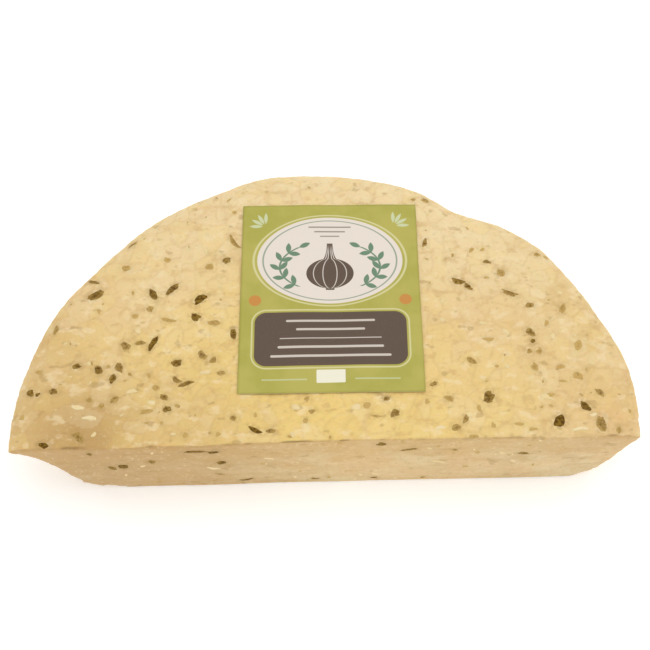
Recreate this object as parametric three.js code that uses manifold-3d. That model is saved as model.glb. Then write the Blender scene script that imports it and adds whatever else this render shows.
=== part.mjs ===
// Half wheel of garlic and herb cheddar with a printed paper label.
// Millimetres, +Z up. The wheel rests on its flat underside and its straight cut faces -Y.
// Shapes are built about the middle of the cut's lower edge, and the last lines move the
// whole part so that its origin is the middle of its footprint.

import * as THREE from 'three';
import { mergeVertices } from 'three/addons/utils/BufferGeometryUtils.js';
import Module from 'manifold-3d';

// Wheel: a low, hand-pressed wheel, cut a little in front of its middle
const WHEEL_RADIUS = 150;
const WHEEL_HEIGHT = 48;
const AXIS_BEHIND_CUT = 9.6;

// Top edge: the top rolls down over this width to the widest line of the wall
const SHOULDER_WIDTH = 13;
const SHOULDER_DROP = 5;

// Wall below the widest line, as [inset, height], at the right and left ends of the cut.
// The wheel came out of a tapered mould, and its left end has slumped more.
const RIGHT_WALL = [[0, 43], [4.5, 32], [9, 20], [13, 11], [18, 4], [26, 0]];
const LEFT_WALL = [[0, 43], [10, 37], [19, 25], [27, 11], [35, 4.5], [50, 0]];

// Places where the round outline swells (+) or is dented (-): centre and spread in degrees
const RIM_SWELLS = [
  { at: 0, spread: 4, out: -1 },
  { at: 14, spread: 7, out: 1.4 },
  { at: 43, spread: 3, out: 1.2 },
  { at: 62, spread: 5.5, out: -6.5 },
  { at: 77, spread: 6, out: -1.8 },
  { at: 101, spread: 8, out: 1.8 },
  { at: 137, spread: 6, out: -2.6 },
  { at: 163, spread: 9, out: -1 },
];

// Slow unevenness of the pressed curd
const UNEVEN_WAVES = 4;
const UNEVEN_DEPTH = 0.38;
const LONGEST_WAVE = 130;
const WAVE_TURN = 2.4;
const WAVE_PHASES = { x: 0.5, y: 1.7, z: 2.9 };

// Fineness of the wheel's surface
const ROUND_STEPS = 64;
const RINGS = 11;
const SHOULDER_STEPS = 4;
const WALL_STEPS = 8;
const SAME_POINT = 1e-3;

// Herb scraps that stand slightly proud of the cheese
const SCRAP_SIDES = 7;
const SCRAP_SINK = 0.8;
const SCRAP_RISE = 0.5;
const SCRAP_TAPER = 0.72;
const SCRAP_UNEVEN = 0.22;
const SCRAP_SPACING = 1.6;
const TOP_SCATTER = { count: 42, longest: 5.6, shortest: 3.2 };
const CUT_SCATTER = { count: 8, longest: 4.6, shortest: 3 };
const WALL_SCATTER = { count: 30, longest: 6.2, shortest: 3.2 };
const RIM_CLEARANCE = 6;
const CUT_CLEARANCE = 1;
const TOP_SCATTER_ANGLES = [4, 176];
const WALL_SCATTER_ANGLES = [8, 172];
const SCRAP_SLIMMEST = 0.38;
const SCRAP_PLUMPEST = 0.7;
const WALL_SCATTER_HEIGHTS = [11, 40];
const MOST_TRIES = 4000;
const SEED = 2611;
const NEXT_RANDOM = { times: 1664525, plus: 1013904223 };

// The largest scraps on the top: x, y, length, width and turn in degrees
const TOP_SCRAPS = [
  [-113.5, 84.6, 9.8, 2.9, 27], [-84.1, 83.8, 8.6, 2.9, -65], [-74.7, 86.8, 9.4, 2.6, 41],
  [-60.6, 80.7, 8.9, 3.0, 40], [-62.3, 70.3, 6.0, 4.4, -12], [-83.1, 55.7, 10.4, 2.9, 63],
  [-96.3, 55.0, 5.4, 3.6, -48], [-71.1, 45.1, 5.2, 4.2, -2], [-119.1, 44.2, 5.4, 3.5, 12],
  [-108.5, 41.7, 5.8, 3.8, -37], [-98.4, 42.8, 6.0, 3.2, -73], [-101.6, 36.8, 5.2, 3.2, 62],
  [-66.0, 32.9, 8.4, 2.8, 21], [-74.3, 19.7, 4.6, 4.0, -2], [-32.2, 7.8, 7.8, 2.6, -28],
  [-58.6, 49.2, 5.6, 3.6, -56], [-129.4, 30.8, 4.8, 4.2, -17], [-56.5, 103.0, 5.2, 3.4, 27],
  [56.0, 111.7, 6.8, 3.0, 70], [84.5, 99.4, 5.2, 3.6, -17], [69.4, 88.8, 7.6, 3.4, -11],
  [76.6, 82.6, 5.4, 3.2, -46], [95.0, 79.9, 9.2, 3.0, -24], [103.5, 72.3, 5.2, 3.6, 19],
  [102.3, 56.8, 5.6, 3.0, -46], [72.3, 42.0, 5.4, 3.2, -32], [79.0, 22.0, 8.4, 4.2, 61],
  [33.7, 14.5, 5.5, 3.2, 27], [49.3, 17.5, 4.9, 3.2, 22], [132.1, 22.9, 4.8, 3.6, -39],
  [124.1, 16.5, 6.7, 3.6, -53], [110.8, 9.2, 8.0, 5.6, 55], [130.2, 7.6, 9.6, 2.8, 87],
];

// The largest scraps on the cut: x, height, length, width and turn in degrees
const CUT_SCRAPS = [
  [-97.2, 25.7, 5.9, 2.6, 34], [-49.5, 27.0, 4.8, 2.4, -3], [-39.0, 6.2, 7.4, 2.2, 16],
  [-5.2, 5.2, 5.0, 2.2, -3], [26.5, 42.6, 5.7, 2.3, 8], [95.4, 30.2, 5.8, 2.5, -3],
];

// Label: a flat paper sheet that follows the top
const LABEL_WIDTH = 90;
const LABEL_LENGTH = 110;
const LABEL_CENTRE = { x: 4.6, y: 81.1 };
const LABEL_TURN = -0.8;
const LABEL_THICKNESS = 0.4;
const LABEL_GAP = 0.3;
const LABEL_COLUMNS = 16;
const LABEL_ROWS = 20;
const LABEL_MARGIN = 2;

const wasm = await Module();
wasm.setup();

let randomState = SEED;

// Even random number from 0 to 1, the same series on every run
function random() {
  randomState = (Math.imul(randomState, NEXT_RANDOM.times) + NEXT_RANDOM.plus) >>> 0;
  return randomState / 2 ** 32;
}

function randomBetween(low, high) {
  return low + (high - low) * random();
}

function degrees(angle) {
  return THREE.MathUtils.degToRad(angle);
}

// Distance from the middle of the cut to the widest outline, in a direction from 0 to PI
function outlineReach(angle) {
  const side = AXIS_BEHIND_CUT * Math.cos(angle);
  const round = AXIS_BEHIND_CUT * Math.sin(angle) + Math.sqrt(WHEEL_RADIUS ** 2 - side ** 2);
  const swells = RIM_SWELLS.map((swell) => {
    const away = (angle - degrees(swell.at)) / degrees(swell.spread);
    return swell.out * Math.exp(-(away ** 2) / 2);
  });
  return swells.reduce((reach, swell) => reach + swell, round);
}

// One wave sum, which is different for each phase
function waves(x, y, z, phase) {
  let sum = 0;
  for (let k = 1; k <= UNEVEN_WAVES; k += 1) {
    const heading = phase + k * WAVE_TURN;
    const along = x * Math.cos(heading) + y * Math.sin(heading) + z * Math.sin(phase + k);
    sum += Math.sin((2 * Math.PI * k * along) / LONGEST_WAVE + phase * k) / k;
  }
  return sum * UNEVEN_DEPTH;
}

// Moves a point of the smooth wheel to its uneven place, with the underside kept flat
function settle(x, y, z) {
  const lift = z / WHEEL_HEIGHT;
  return new THREE.Vector3(
    x + waves(x, y, z, WAVE_PHASES.x),
    y + waves(x, y, z, WAVE_PHASES.y),
    z + lift * waves(x, y, z, WAVE_PHASES.z),
  );
}

// Shoulder and wall from the edge of the flat top to the edge of the underside, at one angle
const rightWall = new THREE.SplineCurve(RIGHT_WALL.map((p) => new THREE.Vector2(...p)));
const leftWall = new THREE.SplineCurve(LEFT_WALL.map((p) => new THREE.Vector2(...p)));

function sideProfile(angle) {
  const toLeft = (1 - Math.cos(angle)) / 2;
  const profile = [];
  for (let k = 0; k < SHOULDER_STEPS; k += 1) {
    const turn = (k / SHOULDER_STEPS) * (Math.PI / 2);
    const inset = SHOULDER_WIDTH * (1 - Math.sin(turn));
    const height = WHEEL_HEIGHT - SHOULDER_DROP * (1 - Math.cos(turn));
    profile.push(new THREE.Vector2(inset, height));
  }
  for (let k = 0; k <= WALL_STEPS; k += 1) {
    const right = rightWall.getPoint(k / WALL_STEPS);
    const left = leftWall.getPoint(k / WALL_STEPS);
    profile.push(right.lerp(left, toLeft));
  }
  return profile;
}

// Rows of points over the top, down the side and back under the wheel, at one angle
function spoke(angle) {
  const reach = outlineReach(angle);
  const profile = sideProfile(angle);
  const place = (radius, height) => {
    return settle(radius * Math.cos(angle), radius * Math.sin(angle), Math.max(height, 0));
  };
  const acrossFlat = (edge) => {
    const radius = reach - edge.x;
    return Array.from({ length: RINGS }, (_, ring) => place((radius * ring) / RINGS, edge.y));
  };
  return {
    top: acrossFlat(profile[0]),
    side: profile.map((point) => place(reach - point.x, point.y)),
    under: acrossFlat(profile[profile.length - 1]),
  };
}

// Adds two triangles for each cell between rows of points. Cells with no area add none.
function addGrid(triangles, rows) {
  for (let i = 0; i + 1 < rows.length; i += 1) {
    for (let j = 0; j + 1 < rows[i].length; j += 1) {
      const [a, b, c, d] = [rows[i][j], rows[i][j + 1], rows[i + 1][j + 1], rows[i + 1][j]];
      for (const corners of [[a, b, c], [a, c, d]]) {
        const face = new THREE.Triangle(...corners);
        if (face.getArea() > 0) {
          triangles.push(...corners);
        }
      }
    }
  }
}

function closedGeometry(triangles) {
  return mergeVertices(new THREE.BufferGeometry().setFromPoints(triangles), SAME_POINT);
}

// The cut: a grid between the top and lower edges and the two end profiles
function cutRows(right, left) {
  const edgeLine = (rightPoints, leftPoints) => {
    return [...leftPoints.slice(1).toReversed(), ...rightPoints];
  };
  const upper = edgeLine([...right.top, right.side[0]], [...left.top, left.side[0]]);
  const lower = edgeLine([...right.under, right.side.at(-1)], [...left.under, left.side.at(-1)]);
  const last = right.side.length - 1;
  return right.side.map((rightEnd, row) => {
    const down = row / last;
    const leftEnd = left.side[row];
    return upper.map((above, column) => {
      const across = column / (upper.length - 1);
      if (row === 0 || row === last) {
        return row === 0 ? above : lower[column];
      }
      if (column === 0 || column === upper.length - 1) {
        return column === 0 ? leftEnd : rightEnd;
      }
      const point = above.clone().lerp(lower[column], down);
      const ends = leftEnd.clone().lerp(rightEnd, across);
      const upperChord = upper[0].clone().lerp(upper.at(-1), across);
      const lowerChord = lower[0].clone().lerp(lower.at(-1), across);
      return point.add(ends).sub(upperChord.lerp(lowerChord, down));
    });
  });
}

function wheelGeometry() {
  const spokes = [];
  for (let i = 0; i <= ROUND_STEPS; i += 1) {
    spokes.push(spoke((i / ROUND_STEPS) * Math.PI));
  }
  const triangles = [];
  addGrid(triangles, spokes.map(({ top, side, under }) => {
    return [...top, ...side, ...under.toReversed()];
  }));
  addGrid(triangles, cutRows(spokes[0], spokes[ROUND_STEPS]).reverse());
  return closedGeometry(triangles);
}

// A low leafy scrap about the origin: a wall that sinks into the cheese and a domed top
function scrapGeometry(length, width) {
  const edges = Array.from({ length: SCRAP_SIDES }, () => randomBetween(1 - SCRAP_UNEVEN, 1));
  const ring = (height, scale) => {
    return edges.map((edge, k) => {
      const turn = (2 * Math.PI * k) / SCRAP_SIDES;
      const x = (length / 2) * Math.cos(turn) * scale * edge;
      const y = (width / 2) * Math.sin(turn) * scale * edge;
      return new THREE.Vector3(x, y, height);
    });
  };
  const close = (points) => [...points, points[0]];
  const centre = (height) => Array(SCRAP_SIDES + 1).fill(new THREE.Vector3(0, 0, height));
  const triangles = [];
  addGrid(triangles, [
    centre(-SCRAP_SINK),
    close(ring(-SCRAP_SINK, 1)),
    close(ring(SCRAP_RISE / 2, SCRAP_TAPER)),
    centre(SCRAP_RISE),
  ]);
  return closedGeometry(triangles);
}

// First place where a ray meets the wheel
function firstHit(wheel, from, direction) {
  return new THREE.Raycaster(from, direction).intersectObject(wheel)[0];
}

// Lays a scrap flat on the face that a ray hits, with its length turned from the horizontal
function layScrap(hit, length, width, turn) {
  const normal = hit.face.normal;
  const upright = Math.abs(normal.z) > Math.SQRT1_2;
  const across = upright
    ? new THREE.Vector3(1, 0, 0)
    : new THREE.Vector3(-normal.y, normal.x, 0);
  across.addScaledVector(normal, -across.dot(normal)).normalize();
  const along = new THREE.Vector3().crossVectors(normal, across);
  const place = new THREE.Matrix4().makeBasis(across, along, normal).setPosition(hit.point);
  const turned = new THREE.Matrix4().makeRotationZ(degrees(turn));
  return scrapGeometry(length, width).applyMatrix4(place.multiply(turned));
}

// True if a round spot on the top is clear of the label
function clearOfLabel(x, y, radius) {
  const local = new THREE.Vector2(x - LABEL_CENTRE.x, y - LABEL_CENTRE.y);
  local.rotateAround(new THREE.Vector2(), -degrees(LABEL_TURN));
  const room = radius + LABEL_MARGIN;
  return Math.abs(local.x) > LABEL_WIDTH / 2 + room || Math.abs(local.y) > LABEL_LENGTH / 2 + room;
}

function downRay(x, y) {
  return [new THREE.Vector3(x, y, 2 * WHEEL_HEIGHT), new THREE.Vector3(0, 0, -1)];
}

function cutRay(x, z) {
  return [new THREE.Vector3(x, -WHEEL_HEIGHT, z), new THREE.Vector3(0, 1, 0)];
}

function wallRay(angle, z) {
  const outward = new THREE.Vector3(Math.cos(angle), Math.sin(angle), 0);
  const from = outward.clone().multiplyScalar(2 * WHEEL_RADIUS).setZ(z);
  return [from, outward.negate()];
}

function randomTopRay(radius) {
  const angle = degrees(randomBetween(...TOP_SCATTER_ANGLES));
  const reach = outlineReach(angle) - RIM_CLEARANCE;
  const distance = reach * Math.sqrt(random());
  const [x, y] = [distance * Math.cos(angle), distance * Math.sin(angle)];
  const clear = y > radius + CUT_CLEARANCE && clearOfLabel(x, y, radius);
  return clear ? downRay(x, y) : null;
}

function randomCutRay(radius) {
  const half = WHEEL_RADIUS - LEFT_WALL.at(-1)[0];
  const edge = radius + CUT_CLEARANCE;
  return cutRay(randomBetween(-half, half), randomBetween(edge, WHEEL_HEIGHT - edge));
}

function randomWallRay() {
  const angle = degrees(randomBetween(...WALL_SCATTER_ANGLES));
  return wallRay(angle, randomBetween(...WALL_SCATTER_HEIGHTS));
}

// Lays further scraps, largest first, each where it is clear of those already laid
function scatter(wheel, laid, { count, longest, shortest }, randomRay) {
  const scraps = [];
  for (let k = 0; k < count; k += 1) {
    const length = THREE.MathUtils.lerp(longest, shortest, k / count);
    const radius = length / 2;
    for (let tries = 0; tries < MOST_TRIES; tries += 1) {
      const ray = randomRay(radius);
      const hit = ray && firstHit(wheel, ...ray);
      const clear = hit && laid.every((other) => {
        return other.point.distanceTo(hit.point) > other.radius + radius + SCRAP_SPACING;
      });
      if (clear) {
        const width = length * randomBetween(SCRAP_SLIMMEST, SCRAP_PLUMPEST);
        laid.push({ point: hit.point, radius });
        scraps.push(layScrap(hit, length, width, randomBetween(-90, 90)));
        break;
      }
    }
  }
  return scraps;
}

function herbScraps(wheel) {
  const laid = [];
  const placed = [
    ...TOP_SCRAPS.map(([x, y, ...size]) => [downRay(x, y), ...size]),
    ...CUT_SCRAPS.map(([x, z, ...size]) => [cutRay(x, z), ...size]),
  ];
  const scraps = placed.map(([ray, length, width, turn]) => {
    const hit = firstHit(wheel, ...ray);
    laid.push({ point: hit.point, radius: length / 2 });
    return layScrap(hit, length, width, turn);
  });
  scraps.push(...scatter(wheel, laid, WALL_SCATTER, randomWallRay));
  scraps.push(...scatter(wheel, laid, TOP_SCATTER, randomTopRay));
  scraps.push(...scatter(wheel, laid, CUT_SCATTER, randomCutRay));
  return scraps;
}

function toSolid(geometry) {
  const vertProperties = new Float32Array(geometry.attributes.position.array);
  const triVerts = new Uint32Array(geometry.index.array);
  return new wasm.Manifold(new wasm.Mesh({ numProp: 3, vertProperties, triVerts }));
}

function toGeometry(solid) {
  const { vertProperties, triVerts } = solid.getMesh();
  const geometry = new THREE.BufferGeometry();
  geometry.setAttribute('position', new THREE.BufferAttribute(vertProperties, 3));
  geometry.setIndex(new THREE.BufferAttribute(triVerts, 1));
  return geometry;
}

// The wheel with its herb scraps joined on
function cheeseGeometry() {
  const plain = wheelGeometry();
  const wheel = new THREE.Mesh(plain, new THREE.MeshStandardMaterial({ side: THREE.DoubleSide }));
  const solids = herbScraps(wheel).map(toSolid);
  const joined = solids.reduce((whole, scrap) => whole.add(scrap), toSolid(plain));
  return toGeometry(joined);
}

// Point of the label's sheet, with u and v from 0 to 1 across its width and length
function labelPoint(u, v, above) {
  const flat = new THREE.Vector2((u - 0.5) * LABEL_WIDTH, (v - 0.5) * LABEL_LENGTH);
  flat.rotateAround(new THREE.Vector2(), degrees(LABEL_TURN));
  flat.add(LABEL_CENTRE);
  const height = settle(flat.x, flat.y, WHEEL_HEIGHT).z;
  return new THREE.Vector3(flat.x, flat.y, height + above);
}

function labelGeometry() {
  const sheet = (above) => {
    return Array.from({ length: LABEL_ROWS + 1 }, (_, row) => {
      return Array.from({ length: LABEL_COLUMNS + 1 }, (__, column) => {
        return labelPoint(column / LABEL_COLUMNS, row / LABEL_ROWS, above);
      });
    });
  };
  const lower = sheet(LABEL_GAP);
  const upper = sheet(LABEL_GAP + LABEL_THICKNESS);
  const rim = (rows) => [
    ...rows[0],
    ...rows.slice(1).map((row) => row.at(-1)),
    ...rows.at(-1).slice(0, -1).toReversed(),
    ...rows.slice(0, -1).map((row) => row[0]).toReversed(),
  ];
  const triangles = [];
  addGrid(triangles, upper);
  addGrid(triangles, lower.toReversed());
  addGrid(triangles, [rim(lower), rim(upper)]);
  return closedGeometry(triangles);
}

function part(name, geometry, color, roughness) {
  const material = new THREE.MeshStandardMaterial({ color, roughness, metalness: 0 });
  const mesh = new THREE.Mesh(geometry, material);
  mesh.name = name;
  return mesh;
}

const group = new THREE.Group();
group.add(part('cheese', cheeseGeometry(), 0xe9cd94, 0.5));
group.add(part('label', labelGeometry(), 0xb9b469, 0.6));

const box = new THREE.Box3().setFromObject(group, true);
const middle = box.getCenter(new THREE.Vector3());
group.position.set(-middle.x, -middle.y, -box.min.z);

export default group;
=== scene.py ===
"""Half wheel of garlic and herb cheddar with a printed paper label.

Sizes named here are millimetres about the middle of the cut's lower edge, +X along the cut
and +Y away from it. Meshes are made in metres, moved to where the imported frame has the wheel.
"""

import itertools
import math
from typing import NamedTuple

import bmesh
import bpy
import numpy as np
from bpy.props import FloatProperty, FloatVectorProperty, IntProperty, PointerProperty
from mathutils import Matrix, Vector
from mathutils.bvhtree import BVHTree


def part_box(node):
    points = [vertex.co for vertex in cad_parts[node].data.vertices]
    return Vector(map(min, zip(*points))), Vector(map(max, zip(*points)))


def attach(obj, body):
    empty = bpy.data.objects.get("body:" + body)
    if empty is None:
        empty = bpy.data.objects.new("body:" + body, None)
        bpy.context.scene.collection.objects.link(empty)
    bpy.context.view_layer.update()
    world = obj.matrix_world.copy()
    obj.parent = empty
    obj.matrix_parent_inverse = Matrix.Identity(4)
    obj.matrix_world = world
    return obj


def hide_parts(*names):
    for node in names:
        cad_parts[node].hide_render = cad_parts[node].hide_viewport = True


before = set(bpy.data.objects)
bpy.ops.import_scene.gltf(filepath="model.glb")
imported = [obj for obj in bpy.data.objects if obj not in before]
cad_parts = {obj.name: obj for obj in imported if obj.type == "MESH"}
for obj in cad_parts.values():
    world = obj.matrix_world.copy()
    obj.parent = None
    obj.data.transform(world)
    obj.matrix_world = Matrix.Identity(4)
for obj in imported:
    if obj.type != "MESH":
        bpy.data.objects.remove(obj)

bl_info = {
    "name": "Herb cheddar half wheel",
    "version": (1, 0, 0),
    "blender": (4, 5, 0),
    "location": "3D View > Sidebar > Cheese",
    "description": "Builds a half wheel of herb cheddar with its label on a packed frame",
    "category": "Object",
}

MM = 0.001

# Wheel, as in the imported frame
WHEEL_RADIUS = 150.0
WHEEL_HEIGHT = 48.0
AXIS_BEHIND_CUT = 9.6
SHOULDER_WIDTH = 13.0
SHOULDER_DROP = 5.0
# Wall below the widest line, as (inset, height), at the right and left ends of the cut
RIGHT_WALL = ((0, 43), (4.5, 32), (9, 20), (13, 11), (18, 4), (26, 0))
LEFT_WALL = ((0, 43), (10, 37), (19, 25), (27, 11), (35, 4.5), (50, 0))
# Where the outline swells (+) or is dented (-): centre and spread in degrees, and how far
RIM_SWELLS = (
    (0, 4, -1.0),
    (14, 7, 1.4),
    (43, 3, 1.2),
    (62, 5.5, -6.5),
    (77, 6, -1.8),
    (101, 8, 1.8),
    (137, 6, -2.6),
    (163, 9, -1.0),
)
# Slow unevenness of the pressed curd
UNEVEN_WAVES = 4
UNEVEN_DEPTH = 0.38
LONGEST_WAVE = 130.0
WAVE_TURN = 2.4
WAVE_PHASES = (0.5, 1.7, 2.9)

# Label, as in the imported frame, and how the thin sheet lies on the top
LABEL_WIDTH = 90.0
LABEL_LENGTH = 110.0
LABEL_CENTRE = (4.6, 81.1)
LABEL_TURN = -0.8
LABEL_LIES_AT = 0.12
LABEL_PAPER = 0.3
LABEL_RIPPLE = 0.12
LABEL_RIPPLE_SIZE = 16.0
LABEL_COLUMNS = 60
LABEL_ROWS = 72
LABEL_MARGIN = 1.5

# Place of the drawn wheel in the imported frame, from the middle of the label's solid
label_low, label_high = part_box("label")
FRAME_SHIFT = (
    (label_low.x + label_high.x) / (2 * MM) - LABEL_CENTRE[0],
    (label_low.y + label_high.y) / (2 * MM) - LABEL_CENTRE[1],
    0.0,
)

# Fineness of the drawn wheel, before its surface is made even
ROUND_STEPS = 288
RINGS = 30
SHOULDER_STEPS = 16
WALL_STEPS = 40
SAME_POINT = 1e-6
EDGE_SOFTENING = 9

# Curd relief, all of it cut inwards: widths in millimetres and shares of the depths set below
CURD_SIZE = 10.5
CURD_FLATNESS = 1.5
CURD_WARP = 3.0
CURD_WARP_SIZE = 9.0
SEAM_WIDTH = 0.14
CRUMB_SIZE = 4.2
CRUMB_SHARE = 0.45
SWELL_SIZE = 24.0
SWELL_SHARE = 1.2
PIT_SPACING = 8.0
PIT_REACH = 0.16
PIT_RARITY = 0.65
DRAG_HEIGHT = 1.8
DRAG_LENGTH = 45.0
CUT_SWELL_SIZE = 38.0
CHIP_SIZE = 4.5
CHIP_FROM = (-0.1, 0.6)
FLAT_UNDER = 0.3
RELIEF_FROM = 3.0

# How far a face turns to the front before it counts as the cut, and down as the underside
CUT_FACING = (0.45, 0.8)
UNDER_FACING = (0.6, 0.9)
# The middle of the underside stands clear of what the wheel lies on
UNDER_LIFT = 0.3

# Herb scraps seen on the top: x, y, length, width, turn in degrees, and darkness
TOP_HERBS = (
    (-113.5, 84.6, 9.8, 5.0, 27, 0.75), (-115.2, 93.0, 8.3, 2.3, -27, 0.68),
    (-84.1, 83.8, 8.8, 3.5, -65, 0.8), (-74.7, 86.8, 9.6, 3.8, 41, 0.75),
    (-60.6, 80.7, 8.9, 4.4, 40, 1.0), (-62.3, 70.3, 6.0, 4.7, -12, 0.86),
    (-47.8, 103.8, 5.1, 4.0, 27, 0.65), (-56.4, 100.1, 4.7, 3.7, -9, 0.43),
    (-44.2, 115.2, 10.5, 2.6, -59, 0.54), (-83.1, 55.7, 10.4, 3.0, 63, 0.93),
    (-96.3, 55.0, 5.5, 4.7, -48, 0.6), (-99.0, 100.4, 5.1, 4.0, -2, 0.41),
    (-96.8, 115.4, 6.5, 2.0, 41, 0.56), (-131.4, 64.8, 7.0, 2.7, 75, 0.52),
    (-43.6, 60.5, 6.6, 3.4, -85, 0.8), (-53.0, 67.1, 7.4, 2.9, -2, 0.45),
    (-71.1, 45.1, 5.2, 4.4, -2, 0.78), (-58.6, 49.2, 5.5, 3.6, -56, 0.59),
    (-53.4, 46.2, 4.6, 3.9, 44, 0.56), (-49.1, 38.7, 4.9, 3.0, -8, 0.52),
    (-119.1, 44.2, 5.2, 3.2, 12, 0.73), (-108.5, 41.7, 5.7, 4.1, -37, 0.78),
    (-98.4, 42.8, 6.2, 4.3, -73, 0.65), (-101.6, 36.8, 5.5, 3.4, 62, 0.76),
    (-129.4, 30.8, 4.6, 3.9, -17, 0.7), (-140.3, 30.1, 4.6, 3.9, -46, 0.76),
    (-66.0, 32.9, 8.6, 2.5, 21, 0.72), (-70.4, 35.7, 5.6, 3.0, -37, 0.66),
    (-76.2, 26.2, 4.8, 3.3, -43, 0.67), (-74.3, 19.7, 4.4, 3.7, -2, 0.76),
    (-99.6, 25.4, 5.3, 3.5, 16, 0.51), (-111.7, 25.5, 3.4, 2.9, -21, 0.48),
    (-115.6, 6.5, 7.3, 4.0, -41, 0.58), (-131.3, 2.6, 5.0, 2.9, -21, 0.97),
    (-32.2, 7.6, 8.0, 2.6, -28, 0.88), (-24.9, 6.9, 4.7, 2.9, -2, 0.59),
    (-42.6, 14.1, 3.6, 3.1, -2, 0.55), (53.6, 111.7, 7.0, 2.3, 70, 0.65),
    (84.5, 99.4, 4.9, 2.5, -17, 0.65), (91.3, 92.5, 5.1, 4.2, -15, 0.49),
    (69.4, 88.3, 7.6, 4.0, -11, 0.73), (74.2, 84.9, 6.0, 2.9, -46, 0.72),
    (95.0, 79.9, 9.4, 3.2, -24, 0.6), (103.5, 72.3, 4.9, 3.2, 19, 0.58),
    (119.4, 70.1, 6.9, 3.1, 66, 0.47), (102.3, 56.8, 5.7, 3.9, -46, 0.63),
    (124.6, 49.1, 6.1, 3.7, 64, 0.31), (72.3, 42.0, 5.4, 3.3, -32, 0.53),
    (79.0, 22.0, 8.4, 5.7, 61, 0.73), (59.7, 22.0, 5.1, 3.7, -26, 0.45),
    (33.7, 14.5, 5.5, 3.9, 27, 0.67), (30.1, 22.4, 3.4, 2.9, -11, 0.61),
    (66.7, 11.0, 6.3, 2.6, 64, 0.56), (62.1, 6.4, 5.1, 3.6, 29, 0.55),
    (102.4, 38.1, 4.9, 3.8, -72, 0.43), (114.6, 37.0, 5.7, 2.6, 15, 0.32),
    (122.6, 32.1, 5.5, 4.2, -25, 0.36), (132.1, 22.9, 4.6, 3.5, -39, 0.56),
    (124.1, 16.5, 6.7, 3.5, -53, 0.81), (110.8, 8.6, 8.1, 5.7, 55, 1.0),
    (130.5, 7.4, 10.0, 4.3, 87, 0.6), (98.2, 4.7, 5.8, 1.4, 9, 0.23),
    (52.8, 29.8, 4.9, 2.6, 22, 0.57), (55.6, 139.1, 5.4, 3.2, -30, 0.51),
    (49.6, 139.6, 3.2, 2.0, 0, 0.49), (110.7, 103.3, 4.2, 3.1, -20, 0.46),
    (115.1, 101.8, 3.4, 2.0, -40, 0.31), (-85.1, 75.3, 4.2, 3.6, -20, 0.47),
    (-76.1, 68.9, 8.0, 2.3, -12, 0.41), (-92.6, 71.7, 4.0, 3.1, 0, 0.29),
    (-89.5, 56.2, 6.6, 2.8, 10, 0.58), (-78.0, 105.0, 4.0, 3.1, -10, 0.36),
    (-105.8, 22.2, 3.8, 3.2, 0, 0.46), (-80.2, 31.4, 4.0, 3.4, 20, 0.38),
    (-90.1, 30.3, 3.6, 1.7, 0, 0.38), (-84.4, 18.9, 6.4, 3.2, 0, 0.41),
    (-7.8, 23.5, 3.4, 2.9, 60, 0.42), (-5.5, 16.6, 4.2, 2.3, 20, 0.51),
    (-8.4, 11.7, 3.2, 2.7, 70, 0.31), (-136.6, 29.0, 2.6, 2.2, 60, 0.75),
    (77.7, 106.9, 3.6, 2.4, 60, 0.31), (100.6, 46.4, 3.4, 2.9, 70, 0.53),
    (105.4, 46.3, 4.0, 3.1, 60, 0.43), (110.8, 62.1, 4.0, 2.2, 70, 0.2),
    (81.6, 53.7, 6.2, 2.0, 0, 0.25), (108.3, 22.6, 4.6, 2.4, 0, 0.26),
    (91.8, 7.6, 5.0, 1.8, 0, 0.26), (69.9, 1.9, 5.6, 2.5, 0, 0.34),
    (24.8, 13.4, 6.0, 1.4, -8, 0.4), (20.4, 19.2, 4.2, 3.6, 50, 0.24),
    (138.0, 3.6, 3.6, 3.1, 60, 0.5), (103.0, 52.0, 2.6, 2.2, 30, 0.82),
    (83.7, 89.7, 3.2, 1.5, 0, 0.3), (114.9, 29.6, 4.4, 1.4, -10, 0.24),
)
# Herb scraps seen on the cut: x, height, then as above
CUT_HERBS = (
    (-97.2, 25.7, 5.9, 5.0, 34, 1.0), (-49.5, 27.0, 4.8, 4.1, -3, 0.9),
    (-52.7, 39.4, 5.8, 2.9, 8, 0.93), (-39.0, 5.6, 7.4, 2.0, 16, 0.76),
    (-5.2, 4.8, 5.0, 2.0, -3, 0.73), (26.5, 43.2, 5.7, 3.9, 8, 0.79),
    (95.4, 30.2, 5.8, 3.8, -3, 0.68), (24.2, 4.3, 4.0, 2.0, -3, 0.82),
    (40.3, 36.3, 10.2, 2.2, 16, 0.67), (61.9, 35.6, 3.2, 2.7, -3, 0.52),
    (-82.9, 30.8, 4.3, 3.7, -19, 0.64), (48.7, 3.4, 3.2, 1.9, -3, 0.5),
    (-110.9, 41.0, 4.4, 2.7, -54, 0.71), (-102.5, 24.2, 5.1, 3.8, -31, 0.7),
    (-60.6, 41.2, 14.0, 2.2, -3, 0.86), (-51.4, 13.8, 5.9, 0.8, -28, 0.56),
)
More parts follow.
